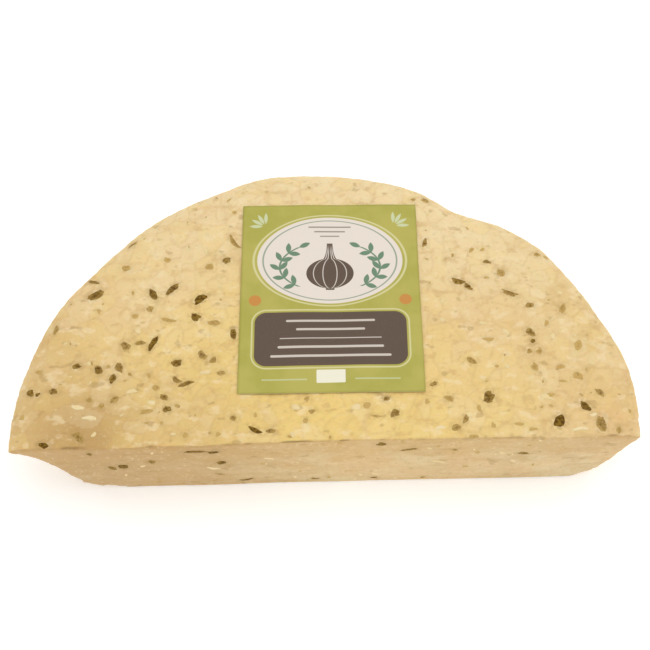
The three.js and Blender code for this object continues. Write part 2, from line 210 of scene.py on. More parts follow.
# Pale garlic bits seen on the top and on the cut, in the same order
TOP_GARLIC = (
    (120.2, 4.4, 8.5, 2.1, 2, 0.9), (127.1, 12.0, 4.5, 2.1, 12, 0.8),
    (-117.2, 22.2, 7.0, 2.6, -15, 0.6), (-111.0, 16.0, 8.5, 2.1, -2, 0.9),
    (-81.8, 23.6, 4.3, 2.6, -2, 0.6), (54.8, 6.4, 5.8, 2.5, 9, 0.7),
    (15.6, 18.6, 5.5, 3.4, 15, 0.5), (-13.5, 19.3, 4.9, 3.4, -14, 0.4),
    (-91.5, 29.8, 5.8, 2.6, 9, 0.4), (106.7, 21.5, 7.6, 3.0, -14, 0.3),
    (67.9, 95.0, 3.2, 2.3, -28, 0.5), (-56.4, 39.7, 5.8, 2.6, 9, 0.4),
)
CUT_GARLIC = (
    (-54.1, 21.3, 8.5, 2.2, -20, 0.7), (-27.0, 29.8, 6.3, 1.7, -14, 0.3),
    (24.7, 9.2, 5.8, 1.8, -29, 0.4), (54.6, 22.1, 8.0, 1.8, -21, 0.3),
)

# Shape of one scrap: rings from its buried middle to its raised one, as (width share, height).
# Heights below 0 are shares of how deep a scrap is buried, and above 0 of how far it rises.
SCRAP_RINGS = (
    (0.0, -1.0),
    (0.9, -1.0),
    (1.0, -0.1),
    (0.9, 0.6),
    (0.62, 0.95),
    (0.3, 1.0),
    (0.0, 1.0),
)
SCRAP_SIDES = 18
SCRAP_BURIED = 0.7
SCRAP_LIFT = (0.5, 1.0)
# Its outline: how many torn sides, how near they are, how they wander, and a notch
TORN_SIDES = (4, 7)
TORN_NEARNESS = (0.85, 1.1)
FURTHEST_CORNER = 1.2
LEAST_FACING = 0.1
TORN_WANDER = 0.35
NOTCH_DEPTH = (0.0, 0.4)
NOTCH_SPREAD = 0.35
SCRAP_JAG = 0.14
SCRAP_CRUMPLE = 0.9
CRUMPLE_SIZE = 1.2
# Each scrap takes its crumple from another layer of the noise, up to this height
CRUMPLE_LAYERS = 393.0
SCRAP_BEND = 0.12
SCRAP_SPACING = 0.8
SLIMMEST = 0.35
PLUMPEST = 0.85
LIFT_FOR_RAY = 4.0
CLOSE_TO_RAY = 3.0
MOST_TRIES = 2000

# Where further scraps may lie
RIM_CLEARANCE = 5.0
CUT_CLEARANCE = 0.8
WALL_ANGLES = (4.0, 176.0)
WALL_HEIGHTS = (8.0, 37.0)
CUT_HALF = 104.0
UNDER_HALF = 92.0
UNDER_DEPTH = 118.0

# Stain that the herbs' moisture leaves round them
STAIN_ROOM = 1.2
STAIN_THROUGH = 2.0
STAIN_FROM = 0.7
STAIN_FADE = 0.45

# Camera, as it stood for the photograph
CAMERA_AT = (1.63, -231.74, 549.57)
CAMERA_TILT = 30.51
CAMERA_ROLL = -1.376
CAMERA_LENS = 65.35
CAMERA_SENSOR = 36.0

HASH_PRIMES = (374761393, 668265263, 1440662683)
HASH_SEED = 974634777
HASH_MIX = 1274126177
HASH_BITS = 0xFFFFFFFF
HASH_SHIFTS = (13, 16)

# Seeds of the noises on the wheel, its scraps and its label
WARP_SEEDS = (1, 2, 3)
CURD_SEED = 11
CRUMB_SEED = 23
SWELL_SEED = 31
PIT_SEED = 41
DRAG_SEED = 53
RIPPLE_SEED = 61
CUT_SWELL_SEED = 67
CHIP_SEED = 71
CRUMPLE_SEED = 83


class Scatter(NamedTuple):
    """A spread of further scraps: how many, their sizes and how dark or bright they are"""

    count: int
    longest: float
    shortest: float
    tones: tuple


# On the wall, the underside, the top and the cut, in this order
HERB_SPREADS = (
    Scatter(80, 9.0, 1.5, (0.25, 0.95)),
    Scatter(80, 9.0, 1.5, (0.25, 0.95)),
    Scatter(56, 3.6, 1.3, (0.1, 0.45)),
    Scatter(22, 3.4, 1.2, (0.1, 0.4)),
)
GARLIC_SPREADS = (
    Scatter(34, 6.0, 1.4, (0.2, 0.8)),
    Scatter(30, 6.0, 1.4, (0.2, 0.8)),
    Scatter(54, 4.6, 1.2, (0.05, 0.5)),
    Scatter(24, 4.0, 1.0, (0.1, 0.5)),
)


class Mottle(NamedTuple):
    """A noise that mixes colours in: how wide its lumps are, its detail and roughness, how much
    it is stretched along each axis (or None), and its bands of colour"""

    size: float
    detail: float
    roughness: float
    stretch: tuple
    bands: tuple


# Bands of colour: from which value, up to which value, how strong, and the colour's name.
# Pressed top: broad clouds, then the tints below, then single curds and their seams, then flecks.
LONG_BLOTCH = (0.7, 1.0, 1.0)
TOP_CLOUDS = (
    Mottle(46, 3, 0.55, None, ((0.36, 0.64, 0.6, "cream"),)),
    Mottle(14, 4, 0.6, LONG_BLOTCH, ((0.5, 0.68, 0.5, "amber"), (0.47, 0.3, 0.55, "cream"))),
    Mottle(19, 2, 0.5, None, ((0.55, 0.7, 0.5, "blush"),)),
)
CURD_BANDS = ((0.4, 1.0, 0.22, "butter"), (0.35, 0.0, 0.3, "cream"))
SEAM_BANDS = ((0.35, 1.0, 0.26, "amber"),)
TOP_FLECKS = (
    Mottle(5.6, 3, 0.5, (0.75, 1.0, 1.0), ((0.54, 0.7, 0.5, "fleck"), (0.44, 0.3, 0.42, "amber"))),
    Mottle(1.7, 3, 0.6, None, ((0.54, 0.74, 0.18, "fleck"), (0.45, 0.28, 0.2, "amber"))),
)
# Broad tints of the pressed top, with a painted shade and a partly painted light among them: x, y,
# how wide, which colour and how strong
TOP_TINTS = (
    (-118.0, 74.0, 26.0, "blush", 0.35),
    # Partly painted light: the strip in front of the label is yellower in colour and also painted
    # brighter, as a pool of light
    (8.0, 14.0, 60.0, "butter", 0.8),
    (-60.0, 30.0, 44.0, "butter", 0.45),
    (-122.0, 8.0, 24.0, "amber", 0.75),
    (-112.0, 6.0, 14.0, "rind_and_shade", 0.8),
    # Painted shade: darker amber along the left rim, where it turns away from the light
    (-131.0, 55.0, 13.0, "amber", 0.35),
    (-60.0, 8.0, 20.0, "amber", 0.45),
    (76.0, 30.0, 16.0, "butter", 0.35),
    (-62.0, 124.0, 30.0, "fleck", 0.5),
    (-62.0, 130.0, 16.0, "blush", 0.1),
    (-91.0, 84.0, 15.0, "fleck", 0.35),
    (10.0, 148.0, 32.0, "fleck", 0.6),
    (68.0, 112.0, 24.0, "fleck", 0.7),
    (84.0, 90.0, 34.0, "cream", 0.6),
    (82.0, 58.0, 22.0, "blush", 0.3),
    (132.0, 10.0, 18.0, "blush", 0.45),
)
# Cut: blotches, then bands by height and by place along it, then torn lines and fine grain
CUT_CLOUDS = (
    Mottle(10, 4, 0.62, (0.4, 1.0, 1.0), ((0.38, 0.62, 1.0, "cut_pale"),)),
    Mottle(30, 2, 0.5, None, ((0.42, 0.62, 0.5, "blush"),)),
)
CUT_HEIGHT_BANDS = ((26, 6, 0.35, "cut_pale"), (22, 38, 0.6, "amber"))
# Darker left end: partly the cut's own darker colour, partly painted shade where the cut faces away
# from the key light
CUT_LEFT_BANDS = ((15, -75, 0.62, "rind_and_shade"),)
TEAR_STRETCH = (0.1, 1.0, 1.3)
TEARS_AT = (0.56, 0.68)
TEAR_STRENGTH = (0.15, 0.6)
TEARS_UNDER_EDGE = (24, 45)
CUT_GRAIN = (Mottle(2.6, 4, 0.7, None, ((0.54, 0.7, 0.35, "fleck"), (0.46, 0.32, 0.3, "rind_and_shade"))),)
# Where the cut's colour takes over from the top's: how fast, how ragged, and how far
CUT_TAKES_OVER = (1.5, 0.5, 0.9)
# Herbs that show faintly from below, and the stain round those that lie on top
SUNK_HERBS = (Mottle(5.4, 2, 0.5, LONG_BLOTCH, ((0.63, 0.73, 0.45, "stain"),)),)
STAIN_STRENGTH = 0.55
# Bump of the paste: stretch of the knife's lines, and shares of the fine grain and of the lines
DRAG_STRETCH = (0.06, 1.0, 1.0)
FINE_GRAIN_SHARE = 0.35
DRAG_SHARE = 0.4
# Film of curd over a herb scrap: how much its tears, its rim and its faintness count, and
# between which sums the film closes
FILM_SHARES = (0.9, 0.22, 1.1)
FILM_CLOSES = (0.6, 1.35)
# Depth of the finest grain, in metres
LEAF_GRAIN = 0.00016
GARLIC_GRAIN = 0.00012
PAPER_GRAIN = 0.00012

# Half the floor's side, and the lamps' places, what they are aimed at and sizes, in metres
FLOOR_HALF = 3.0
KEY_LAMP = ((0.35, 0.25, 1.3), (0, 0, 0), 1.4)
FILL_LAMP = ((-0.2, -1.1, 0.7), (0, 0, 0.02), 1.2)


def screen_colour(red, green, blue):
    """Colour with equal steps of light, from the 0 to 255 values of a screen"""
    values = []
    for value in (red, green, blue):
        share = value / 255
        values.append(share / 12.92 if share <= 0.04045 else ((share + 0.055) / 1.055) ** 2.4)
    return tuple(values)


def opaque(colour):
    return (*colour[:3], 1.0)


# Numbers that look random, the same on every run


def lattice(cells, seed):
    """A number from 0 to 1 for each row of three whole numbers"""
    mixed = seed * HASH_SEED
    for axis, prime in enumerate(HASH_PRIMES):
        mixed = mixed + cells[:, axis] * prime
    mixed = mixed & HASH_BITS
    mixed = ((mixed ^ (mixed >> HASH_SHIFTS[0])) * HASH_MIX) & HASH_BITS
    return (mixed ^ (mixed >> HASH_SHIFTS[1])) / (HASH_BITS + 1)


def lumps(points, size, seed):
    """Smooth noise from -1 to 1 whose lumps are about as wide as size"""
    scaled = points / size
    base = np.floor(scaled).astype(np.int64)
    share = scaled - base
    share = share * share * (3 - 2 * share)
    total = np.zeros(len(points))
    for corner in itertools.product((0, 1), repeat=3):
        weights = np.where(np.array(corner) == 1, share, 1 - share)
        total += weights.prod(axis=1) * lattice(base + np.array(corner), seed)
    return 2 * total - 1


def grains(points, size, seed):
    """Shares of a grain's size to the nearest and next grain's middle, and the grain's number"""
    scaled = points / size
    base = np.floor(scaled).astype(np.int64)
    nearest = np.full(len(points), np.inf)
    following = np.full(len(points), np.inf)
    number = np.zeros(len(points))
    for step in itertools.product((-1, 0, 1), repeat=3):
        cell = base + np.array(step)
        middle = cell + np.stack([lattice(cell, seed + k) for k in range(3)], axis=1)
        gap = np.linalg.norm(scaled - middle, axis=1)
        closer = gap < nearest
        following = np.where(closer, nearest, np.minimum(following, gap))
        number = np.where(closer, lattice(cell, seed + 3), number)
        nearest = np.minimum(nearest, gap)
    return nearest, following, number


def ease(values, low, high):
    """0 below low, 1 above high and smooth between them"""
    share = np.clip((values - low) / (high - low), 0, 1)
    return share * share * (3 - 2 * share)


# Form of the wheel


def outline_reach(angles):
    """Distance from the middle of the cut to the widest outline"""
    side = AXIS_BEHIND_CUT * np.cos(angles)
    reach = AXIS_BEHIND_CUT * np.sin(angles) + np.sqrt(WHEEL_RADIUS**2 - side**2)
    for at, spread, out in RIM_SWELLS:
        away = (angles - math.radians(at)) / math.radians(spread)
        reach = reach + out * np.exp(-(away**2) / 2)
    return reach


def waves(points, phase):
    total = np.zeros(len(points))
    for k in range(1, UNEVEN_WAVES + 1):
        heading = phase + k * WAVE_TURN
        direction = np.array([math.cos(heading), math.sin(heading), math.sin(phase + k)])
        along = points @ direction
        total += np.sin(2 * math.pi * k * along / LONGEST_WAVE + phase * k) / k
    return total * UNEVEN_DEPTH


def settled(points):
    """Points of the smooth wheel moved to their uneven places, with the underside kept flat"""
    moved = points.astype(float).copy()
    for axis, phase in enumerate(WAVE_PHASES):
        lift = points[:, 2] / WHEEL_HEIGHT if axis == 2 else 1.0
        moved[:, axis] += lift * waves(points, phase)
    return moved


def smooth_curve(points, shares):
    """Places on a smooth curve through the points, at shares of its way"""
    points = np.array(points, float)
    last = len(points) - 1
    way = shares * last
    start = np.minimum(np.floor(way).astype(int), last - 1)
    t = (way - start)[:, None]
    before, here = points[np.maximum(start - 1, 0)], points[start]
    there, after = points[start + 1], points[np.minimum(start + 2, last)]
    leave, arrive = (there - before) / 2, (after - here) / 2
    cubic = (2 * here - 2 * there + leave + arrive) * t**3
    square = (3 * there - 3 * here - 2 * leave - arrive) * t**2
    return cubic + square + leave * t + here


def wheel_spokes():
    """Rows of points over the top, down the side and back under the wheel, one row an angle"""
    angles = np.linspace(0, math.pi, ROUND_STEPS + 1)
    reach = outline_reach(angles)[:, None]
    turns = np.arange(SHOULDER_STEPS) / SHOULDER_STEPS * math.pi / 2
    shoulder_inset = SHOULDER_WIDTH * (1 - np.sin(turns))
    shoulder_height = WHEEL_HEIGHT - SHOULDER_DROP * (1 - np.cos(turns))
    shoulder = np.stack([shoulder_inset, shoulder_height], axis=1)
    shares = np.linspace(0, 1, WALL_STEPS + 1)
    right, left = smooth_curve(RIGHT_WALL, shares), smooth_curve(LEFT_WALL, shares)
    to_left = ((1 - np.cos(angles)) / 2)[:, None, None]
    wall = right + (left - right) * to_left
    side = np.concatenate([np.repeat(shoulder[None], len(angles), axis=0), wall], axis=1)
    rings = np.arange(RINGS) / RINGS
    radius = np.concatenate([
        (reach - side[:, :1, 0]) * rings,
        reach - side[:, :, 0],
        (reach - side[:, -1:, 0]) * rings[::-1],
    ], axis=1)
    height = np.concatenate([
        np.repeat(side[:, :1, 1], RINGS, axis=1),
        side[:, :, 1],
        np.repeat(side[:, -1:, 1], RINGS, axis=1),
    ], axis=1)
    across, away = np.cos(angles)[:, None], np.sin(angles)[:, None]
    points = np.stack([radius * across, radius * away, np.maximum(height, 0)], axis=2)
    return settled(points.reshape(-1, 3)).reshape(points.shape)


def cut_rows(spokes):
    """Grid of the cut, between the top and lower edges and the two end profiles"""
    right, left = spokes[0], spokes[-1]
    side = slice(RINGS, len(right) - RINGS)
    upper = np.concatenate([left[1:RINGS + 1][::-1], right[:RINGS + 1]])
    below = right[::-1][:RINGS + 1]
    lower = np.concatenate([left[::-1][1:RINGS + 1][::-1], below])
    down = np.linspace(0, 1, len(right[side]))[:, None, None]
    over = np.linspace(0, 1, len(upper))[None, :, None]
    edges = upper[None] * (1 - down) + lower[None] * down
    ends = left[side][:, None] * (1 - over) + right[side][:, None] * over
    upper_chord = upper[0] * (1 - over) + upper[-1] * over
    lower_chord = lower[0] * (1 - over) + lower[-1] * over
    return edges + ends - (upper_chord * (1 - down) + lower_chord * down)


def grid_faces(rows, columns, first=0):
    """Four corners of each cell of a grid whose points start at number first"""
    corner = first + np.arange(rows - 1)[:, None] * columns + np.arange(columns - 1)
    corners = [corner, corner + 1, corner + columns + 1, corner + columns]
    return np.stack(corners, axis=2).reshape(-1, 4)


def to_frame(points):
    """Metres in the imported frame, from millimetres about the middle of the cut"""
    return (np.asarray(points, float) + np.array(FRAME_SHIFT)) * MM


def mesh_from(name, points, faces):
    mesh = bpy.data.meshes.new(name)
    mesh.from_pydata([tuple(point) for point in points], [], [tuple(face) for face in faces])
    mesh.validate()
    mesh.update()
    return mesh


def drawn_wheel():
    spokes = wheel_spokes()
    cut = cut_rows(spokes)
    points = np.concatenate([spokes.reshape(-1, 3), cut.reshape(-1, 3)])
    faces = np.concatenate([
        grid_faces(*spokes.shape[:2]),
        grid_faces(*cut.shape[:2], first=spokes.shape[0] * spokes.shape[1])[:, ::-1],
    ])
    mesh = mesh_from("drawn_wheel", to_frame(points), faces)
    model = bmesh.new()
    model.from_mesh(mesh)
    bmesh.ops.remove_doubles(model, verts=model.verts, dist=SAME_POINT)
    bmesh.ops.recalc_face_normals(model, faces=model.faces)
    model.to_mesh(mesh)
    model.free()
    return mesh


def even_mesh(mesh, spacing):
    """The same solid with points a set distance apart all over"""
    carrier = bpy.data.objects.new("even_mesh", mesh)
    bpy.context.scene.collection.objects.link(carrier)
    remesh = carrier.modifiers.new("even", "REMESH")
    remesh.mode = "VOXEL"
    remesh.voxel_size = spacing
    shown = carrier.evaluated_get(bpy.context.evaluated_depsgraph_get())
    made = bpy.data.meshes.new_from_object(shown)
    bpy.data.objects.remove(carrier)
    bpy.data.meshes.remove(mesh)
    return made


def read_points(mesh, collection, name, width, kind=float):
    values = np.zeros(len(collection) * width, kind)
    collection.foreach_get(name, values)
    return values.reshape(-1, width)


def softened(points, edges, passes):
    """Points drawn half way to the middle of their neighbours, again and again"""
    ends = np.concatenate([edges, edges[:, ::-1]])
    counts = np.bincount(ends[:, 0], minlength=len(points))[:, None]
    for _ in range(passes):
        middle = np.stack([
            np.bincount(ends[:, 0], points[ends[:, 1], axis], len(points)) for axis in range(3)
        ], axis=1)
        points = (points + middle / counts) / 2
    return points


def relief(points, cut, settings):
    """Depth of seams, pits, knife lines and chipped edges, how near a seam is, and which curd"""
    warp = np.stack([lumps(points, CURD_WARP_SIZE, seed) for seed in WARP_SEEDS], axis=1)
    bent = (points + CURD_WARP * warp) * np.array([1.0, 1.0, CURD_FLATNESS])
    nearest, following, number = grains(bent, CURD_SIZE, CURD_SEED)
    seam = np.exp(-(following - nearest) / SEAM_WIDTH)
    small_nearest, small_following, _ = grains(bent, CRUMB_SIZE, CRUMB_SEED)
    small_seam = np.exp(-(small_following - small_nearest) / SEAM_WIDTH)
    swell = (1 + lumps(points, SWELL_SIZE, SWELL_SEED)) / 2
    pit_nearest, _, pit_number = grains(points, PIT_SPACING, PIT_SEED)
    pit = (pit_number > PIT_RARITY) * (1 - ease(pit_nearest, 0, PIT_REACH))
    stretched = points / np.array([DRAG_LENGTH, DRAG_LENGTH, DRAG_HEIGHT])
    drag = (1 + lumps(stretched, 1.0, DRAG_SEED)) / 2
    curd = seam + CRUMB_SHARE * small_seam + SWELL_SHARE * swell
    cut_swell = (1 + lumps(points, CUT_SWELL_SIZE, CUT_SWELL_SEED)) / 2
    chips = 4 * cut * (1 - cut) * ease(lumps(points, CHIP_SIZE, CHIP_SEED), *CHIP_FROM)
    depth = settings.curd_depth * curd * (1 - cut / 2) + settings.pit_depth * pit
    depth += (settings.drag_depth * drag + settings.cut_depth * cut_swell) * cut
    depth += settings.chip_depth * chips
    return depth / MM, seam, number


def add_attribute(mesh, name, values):
    attribute = mesh.attributes.get(name) or mesh.attributes.new(name, "FLOAT", "POINT")
    attribute.data.foreach_set("value", np.asarray(values, np.float32))


def wheel_mesh(settings):
    mesh = even_mesh(drawn_wheel(), settings.spacing)
    edges = read_points(mesh, mesh.edges, "vertices", 2, np.int32)
    points = read_points(mesh, mesh.vertices, "co", 3) / MM - np.array(FRAME_SHIFT)
    points = softened(points, edges, EDGE_SOFTENING)
    mesh.vertices.foreach_set("co", to_frame(points).ravel())
    mesh.update()
    normals = read_points(mesh, mesh.vertices, "normal", 3)
    cut = ease(-normals[:, 1], *CUT_FACING)
    under = ease(-normals[:, 2], *UNDER_FACING)
    depth, seam, number = relief(points, cut, settings)
    depth *= np.maximum(ease(points[:, 2], FLAT_UNDER, RELIEF_FROM), under)
    depth += UNDER_LIFT * under
    low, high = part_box("cheese")
    points = to_frame(points - normals * depth[:, None])
    points = np.clip(points, np.array(low), np.array(high))
    mesh.vertices.foreach_set("co", points.ravel())
    mesh.update()
    mesh.shade_smooth()
    add_attribute(mesh, "cut", cut)
    add_attribute(mesh, "seam", seam)
    add_attribute(mesh, "curd", number)
    return mesh


# Scraps laid on the wheel


class Place(NamedTuple):
    """Where one scrap lies: its middle, its own axes, its size and how dark or bright it is"""

    middle: Vector
    along: Vector
    across: Vector
    normal: Vector
    length: float
    width: float
    tone: float


def down_ray(x, y):
    return Vector(to_frame((x, y, 2 * WHEEL_HEIGHT))), Vector((0, 0, -1))


def up_ray(x, y):
    return Vector(to_frame((x, y, -WHEEL_HEIGHT))), Vector((0, 0, 1))


def cut_ray(x, z):
    return Vector(to_frame((x, -WHEEL_HEIGHT, z))), Vector((0, 1, 0))


def wall_ray(angle, z):
    outward = Vector((math.cos(angle), math.sin(angle), 0))
    return Vector(to_frame((*(outward * 2 * WHEEL_RADIUS)[:2], z))), -outward


def place_on(surface, ray, length, width, turn, tone):
    """Place where a ray meets the wheel, with its length turned from the horizontal"""
    middle, normal, _, _ = surface.ray_cast(*ray)
    if middle is None:
        raise RuntimeError("A scrap's ray misses the wheel")
    facing_up = abs(normal.z) > math.sqrt(0.5)
    level = Vector((1, 0, 0)) if facing_up else Vector((-normal.y, normal.x, 0))
    level = (level - normal * level.dot(normal)).normalized()
    rising = normal.cross(level)
    angle = math.radians(turn)
    along = level * math.cos(angle) + rising * math.sin(angle)
    return Place(middle, along, normal.cross(along), normal, length, width, tone)


def clear_of_label(x, y, radius):
    turn = math.radians(-LABEL_TURN)
    dx, dy = x - LABEL_CENTRE[0], y - LABEL_CENTRE[1]
    across = abs(dx * math.cos(turn) - dy * math.sin(turn))
    away = abs(dx * math.sin(turn) + dy * math.cos(turn))
    room = radius + LABEL_MARGIN
    return across > LABEL_WIDTH / 2 + room or away > LABEL_LENGTH / 2 + room


def random_top_ray(random, radius):
    angle = random.uniform(0, math.pi)
    reach = outline_reach(np.array([angle]))[0] - RIM_CLEARANCE
    distance = reach * math.sqrt(random.uniform())
    x, y = distance * math.cos(angle), distance * math.sin(angle)
    free = y > radius + CUT_CLEARANCE and clear_of_label(x, y, radius)
    return down_ray(x, y) if free else None


def random_cut_ray(random, radius):
    edge = radius + CUT_CLEARANCE
    return cut_ray(random.uniform(-CUT_HALF, CUT_HALF), random.uniform(edge, WHEEL_HEIGHT - edge))


def random_wall_ray(random, radius):
    angle = math.radians(random.uniform(*WALL_ANGLES))
    return wall_ray(angle, random.uniform(*WALL_HEIGHTS))


def random_under_ray(random, radius):
    x, y = random.uniform(-UNDER_HALF, UNDER_HALF), random.uniform(0, UNDER_DEPTH)
    free = radius + CUT_CLEARANCE < y < math.sqrt(UNDER_DEPTH**2 - x**2)
    return up_ray(x, y) if free else None


def is_clear(place, laid):
    for other in laid:
        room = (place.length + other.length) / 2 + SCRAP_SPACING
        if (place.middle - other.middle).length < room * MM:
            return False
    return True


def scattered(surface, random, laid, plan, random_ray):
    """Further places, longest first, each clear of all that are laid"""
    found = []
    for k in range(plan.count):
        length = plan.longest * (plan.shortest / plan.longest) ** (k / plan.count)
        for _ in range(MOST_TRIES):
            ray = random_ray(random, length / 2)
            if ray is None:
                continue
            width = length * random.uniform(SLIMMEST, PLUMPEST)
            turn, tone = random.uniform(-90, 90), random.uniform(*plan.tones)
            place = place_on(surface, ray, length, width, turn, tone)
            if is_clear(place, laid):
                laid.append(place)
                found.append(place)
                break
    return found


def torn_outline(turns, random):
    """How far a scrap reaches each way, as a share: a few torn sides, a notch and a ragged edge"""
    sides = random.integers(*TORN_SIDES, endpoint=True)
    facing = (np.arange(sides) + random.uniform(-TORN_WANDER, TORN_WANDER, sides)) / sides
    facing = (facing + random.uniform()) * 2 * math.pi
    nearness = random.uniform(*TORN_NEARNESS, sides)
    toward = np.maximum(np.cos(turns[:, None] - facing), LEAST_FACING)
    reach = np.minimum((nearness / toward).min(axis=1), FURTHEST_CORNER)
    notch = 1 - np.cos(turns - random.uniform(0, 2 * math.pi))
    reach *= 1 - random.uniform(*NOTCH_DEPTH) * np.exp(-notch / NOTCH_SPREAD**2)
    return reach * random.uniform(1 - SCRAP_JAG, 1, len(turns))


def scrap_rows(place, rise, random):
    """Rings of one scrap's points as (along, across, height), from its buried middle up"""
    turns = np.arange(SCRAP_SIDES) / SCRAP_SIDES * 2 * math.pi
    reach = torn_outline(turns, random)
    along = np.cos(turns) * reach * place.length / 2
    across = np.sin(turns) * reach * place.width / 2
    bend = random.uniform(-SCRAP_BEND, SCRAP_BEND) * place.length
    across = across + bend * ((2 * along / place.length) ** 2 - 0.5)
    lift = rise * random.uniform(*SCRAP_LIFT)
    layer = random.uniform(0, CRUMPLE_LAYERS)
    rows = []
    for share, height in SCRAP_RINGS:
        flat = np.stack([along * share, across * share, np.full(SCRAP_SIDES, layer)], axis=1)
        crumple = 1 + SCRAP_CRUMPLE * (lumps(flat, CRUMPLE_SIZE, CRUMPLE_SEED) - 1) / 2
        buried = np.full(SCRAP_SIDES, height * SCRAP_BURIED)
        level = height * lift * crumple if height > 0 else buried
        rows.append(np.stack([*flat.T[:2], level], axis=1))
    return rows


def scrap_faces():
    """Faces of one scrap: rings joined in turn, with a fan at each end"""
    faces = []
    rings = len(SCRAP_RINGS) - 2
    for side in range(SCRAP_SIDES):
        after = (side + 1) % SCRAP_SIDES
        faces.append((0, 1 + after, 1 + side))
        for ring in range(rings - 1):
            low, high = 1 + ring * SCRAP_SIDES, 1 + (ring + 1) * SCRAP_SIDES
            faces.append((low + side, low + after, high + after))
            faces.append((low + side, high + after, high + side))
        last = 1 + (rings - 1) * SCRAP_SIDES
        faces.append((last + side, last + after, last + SCRAP_SIDES))
    return np.array(faces)


def scrap_points(surface, place, rise, random):
    """One scrap's points, each laid on the wheel below it and then raised or buried"""
    rows = scrap_rows(place, rise, random)
    local = [rows[0][0], *np.concatenate(rows[1:-1]), rows[-1][0]]
    points = []
    for along, across, height in local:
        over = place.middle + (place.along * along + place.across * across) * MM
        start = over + place.normal * LIFT_FOR_RAY * MM
        met, _, _, _ = surface.ray_cast(start, -place.normal, (LIFT_FOR_RAY + CLOSE_TO_RAY) * MM)
        points.append((met or over) + place.normal * height * MM)
    return points


def scraps_mesh(name, surface, places, rise, random):
    """All scraps of one kind as one mesh, with how dark and how near its rim each point is"""
    one = scrap_faces()
    one_rim = [SCRAP_RINGS[0][0]]
    for share, _ in SCRAP_RINGS[1:-1]:
        one_rim.extend([share] * SCRAP_SIDES)
    one_rim.append(SCRAP_RINGS[-1][0])
    points, faces, tones = [], [], []
    for place in places:
        faces.append(one + len(points))
        points.extend(scrap_points(surface, place, rise, random))
        tones.extend([place.tone] * len(one_rim))
    low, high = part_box("cheese")
    points = np.clip(np.array(points), np.array(low), np.array(high))
    mesh = mesh_from(name, points, np.concatenate(faces))
    mesh.shade_smooth()
    add_attribute(mesh, "tone", tones)
    add_attribute(mesh, "rim", one_rim * len(places))
    return mesh


def wheel_surface():
    wheel = bpy.data.objects.get("cheese_wheel")
    if wheel is None:
        raise RuntimeError("Press the wheel before anything is laid on it")
    return wheel, BVHTree.FromObject(wheel, bpy.context.evaluated_depsgraph_get())


def seen_places(surface, on_top, on_cut):
    places = [place_on(surface, down_ray(x, y), *size) for x, y, *size in on_top]
    places += [place_on(surface, cut_ray(x, z), *size) for x, z, *size in on_cut]
    return places


def scraps_laid(name, surface, seen, taken, spreads, settings):
    """Mesh and places of the scraps seen in the photo and of further ones on every side"""
    random = np.random.default_rng(settings.seed)
    sides = (random_wall_ray, random_under_ray, random_top_ray, random_cut_ray)
    places, laid = list(seen), list(taken)
    for spread, random_ray in zip(spreads, sides):
        places += scattered(surface, random, laid, spread, random_ray)
    return scraps_mesh(name, surface, places, settings.rise / MM, random), places


def stain_wheel(wheel, places):
    """Marks the cheese round each herb scrap, where its moisture has spread"""
    points = read_points(wheel.data, wheel.data.vertices, "co", 3)
    stain = np.zeros(len(points))
    for place in places:
        away = (points - np.array(place.middle)) / MM
        along = away @ np.array(place.along) / (place.length / 2 + STAIN_ROOM)
        across = away @ np.array(place.across) / (place.width / 2 + STAIN_ROOM)
        through = away @ np.array(place.normal) / STAIN_THROUGH
        gap = np.sqrt(along**2 + across**2 + through**2)
        fade = np.exp(-((np.maximum(gap - STAIN_FROM, 0) / STAIN_FADE) ** 2))
        stain = np.maximum(stain, fade * place.tone)
    add_attribute(wheel.data, "stain", stain)


# Label


def label_mesh():
    """A thin paper sheet that follows the uneven top, closed round its edge"""
    u = np.linspace(-0.5, 0.5, LABEL_COLUMNS + 1)[None, :] * LABEL_WIDTH
    v = np.linspace(-0.5, 0.5, LABEL_ROWS + 1)[:, None] * LABEL_LENGTH
    turn = math.radians(LABEL_TURN)
    x = (u * math.cos(turn) - v * math.sin(turn) + LABEL_CENTRE[0]).ravel()
    y = (u * math.sin(turn) + v * math.cos(turn) + LABEL_CENTRE[1]).ravel()
    flat = np.stack([x, y, np.full(len(x), WHEEL_HEIGHT)], axis=1)
    height = settled(flat)[:, 2] + LABEL_LIES_AT
    height += LABEL_RIPPLE * (1 + lumps(flat, LABEL_RIPPLE_SIZE, RIPPLE_SEED)) / 2
    sheets = [np.stack([x, y, height + above], axis=1) for above in (0.0, LABEL_PAPER)]
    rows, columns = LABEL_ROWS + 1, LABEL_COLUMNS + 1
    number = np.arange(rows * columns).reshape(rows, columns)
    rim = np.concatenate([number[0], number[1:, -1], number[-1, -2::-1], number[-2:0:-1, 0]])
    after = np.roll(rim, -1)
    over = rows * columns
    faces = np.concatenate([
        grid_faces(rows, columns)[:, ::-1],
        grid_faces(rows, columns, first=over),
        np.stack([rim, after, after + over, rim + over], axis=1),
    ])
    mesh = mesh_from("label_sheet", to_frame(np.concatenate(sheets)), faces)
    mesh.shade_smooth()
    return mesh


# Finishes


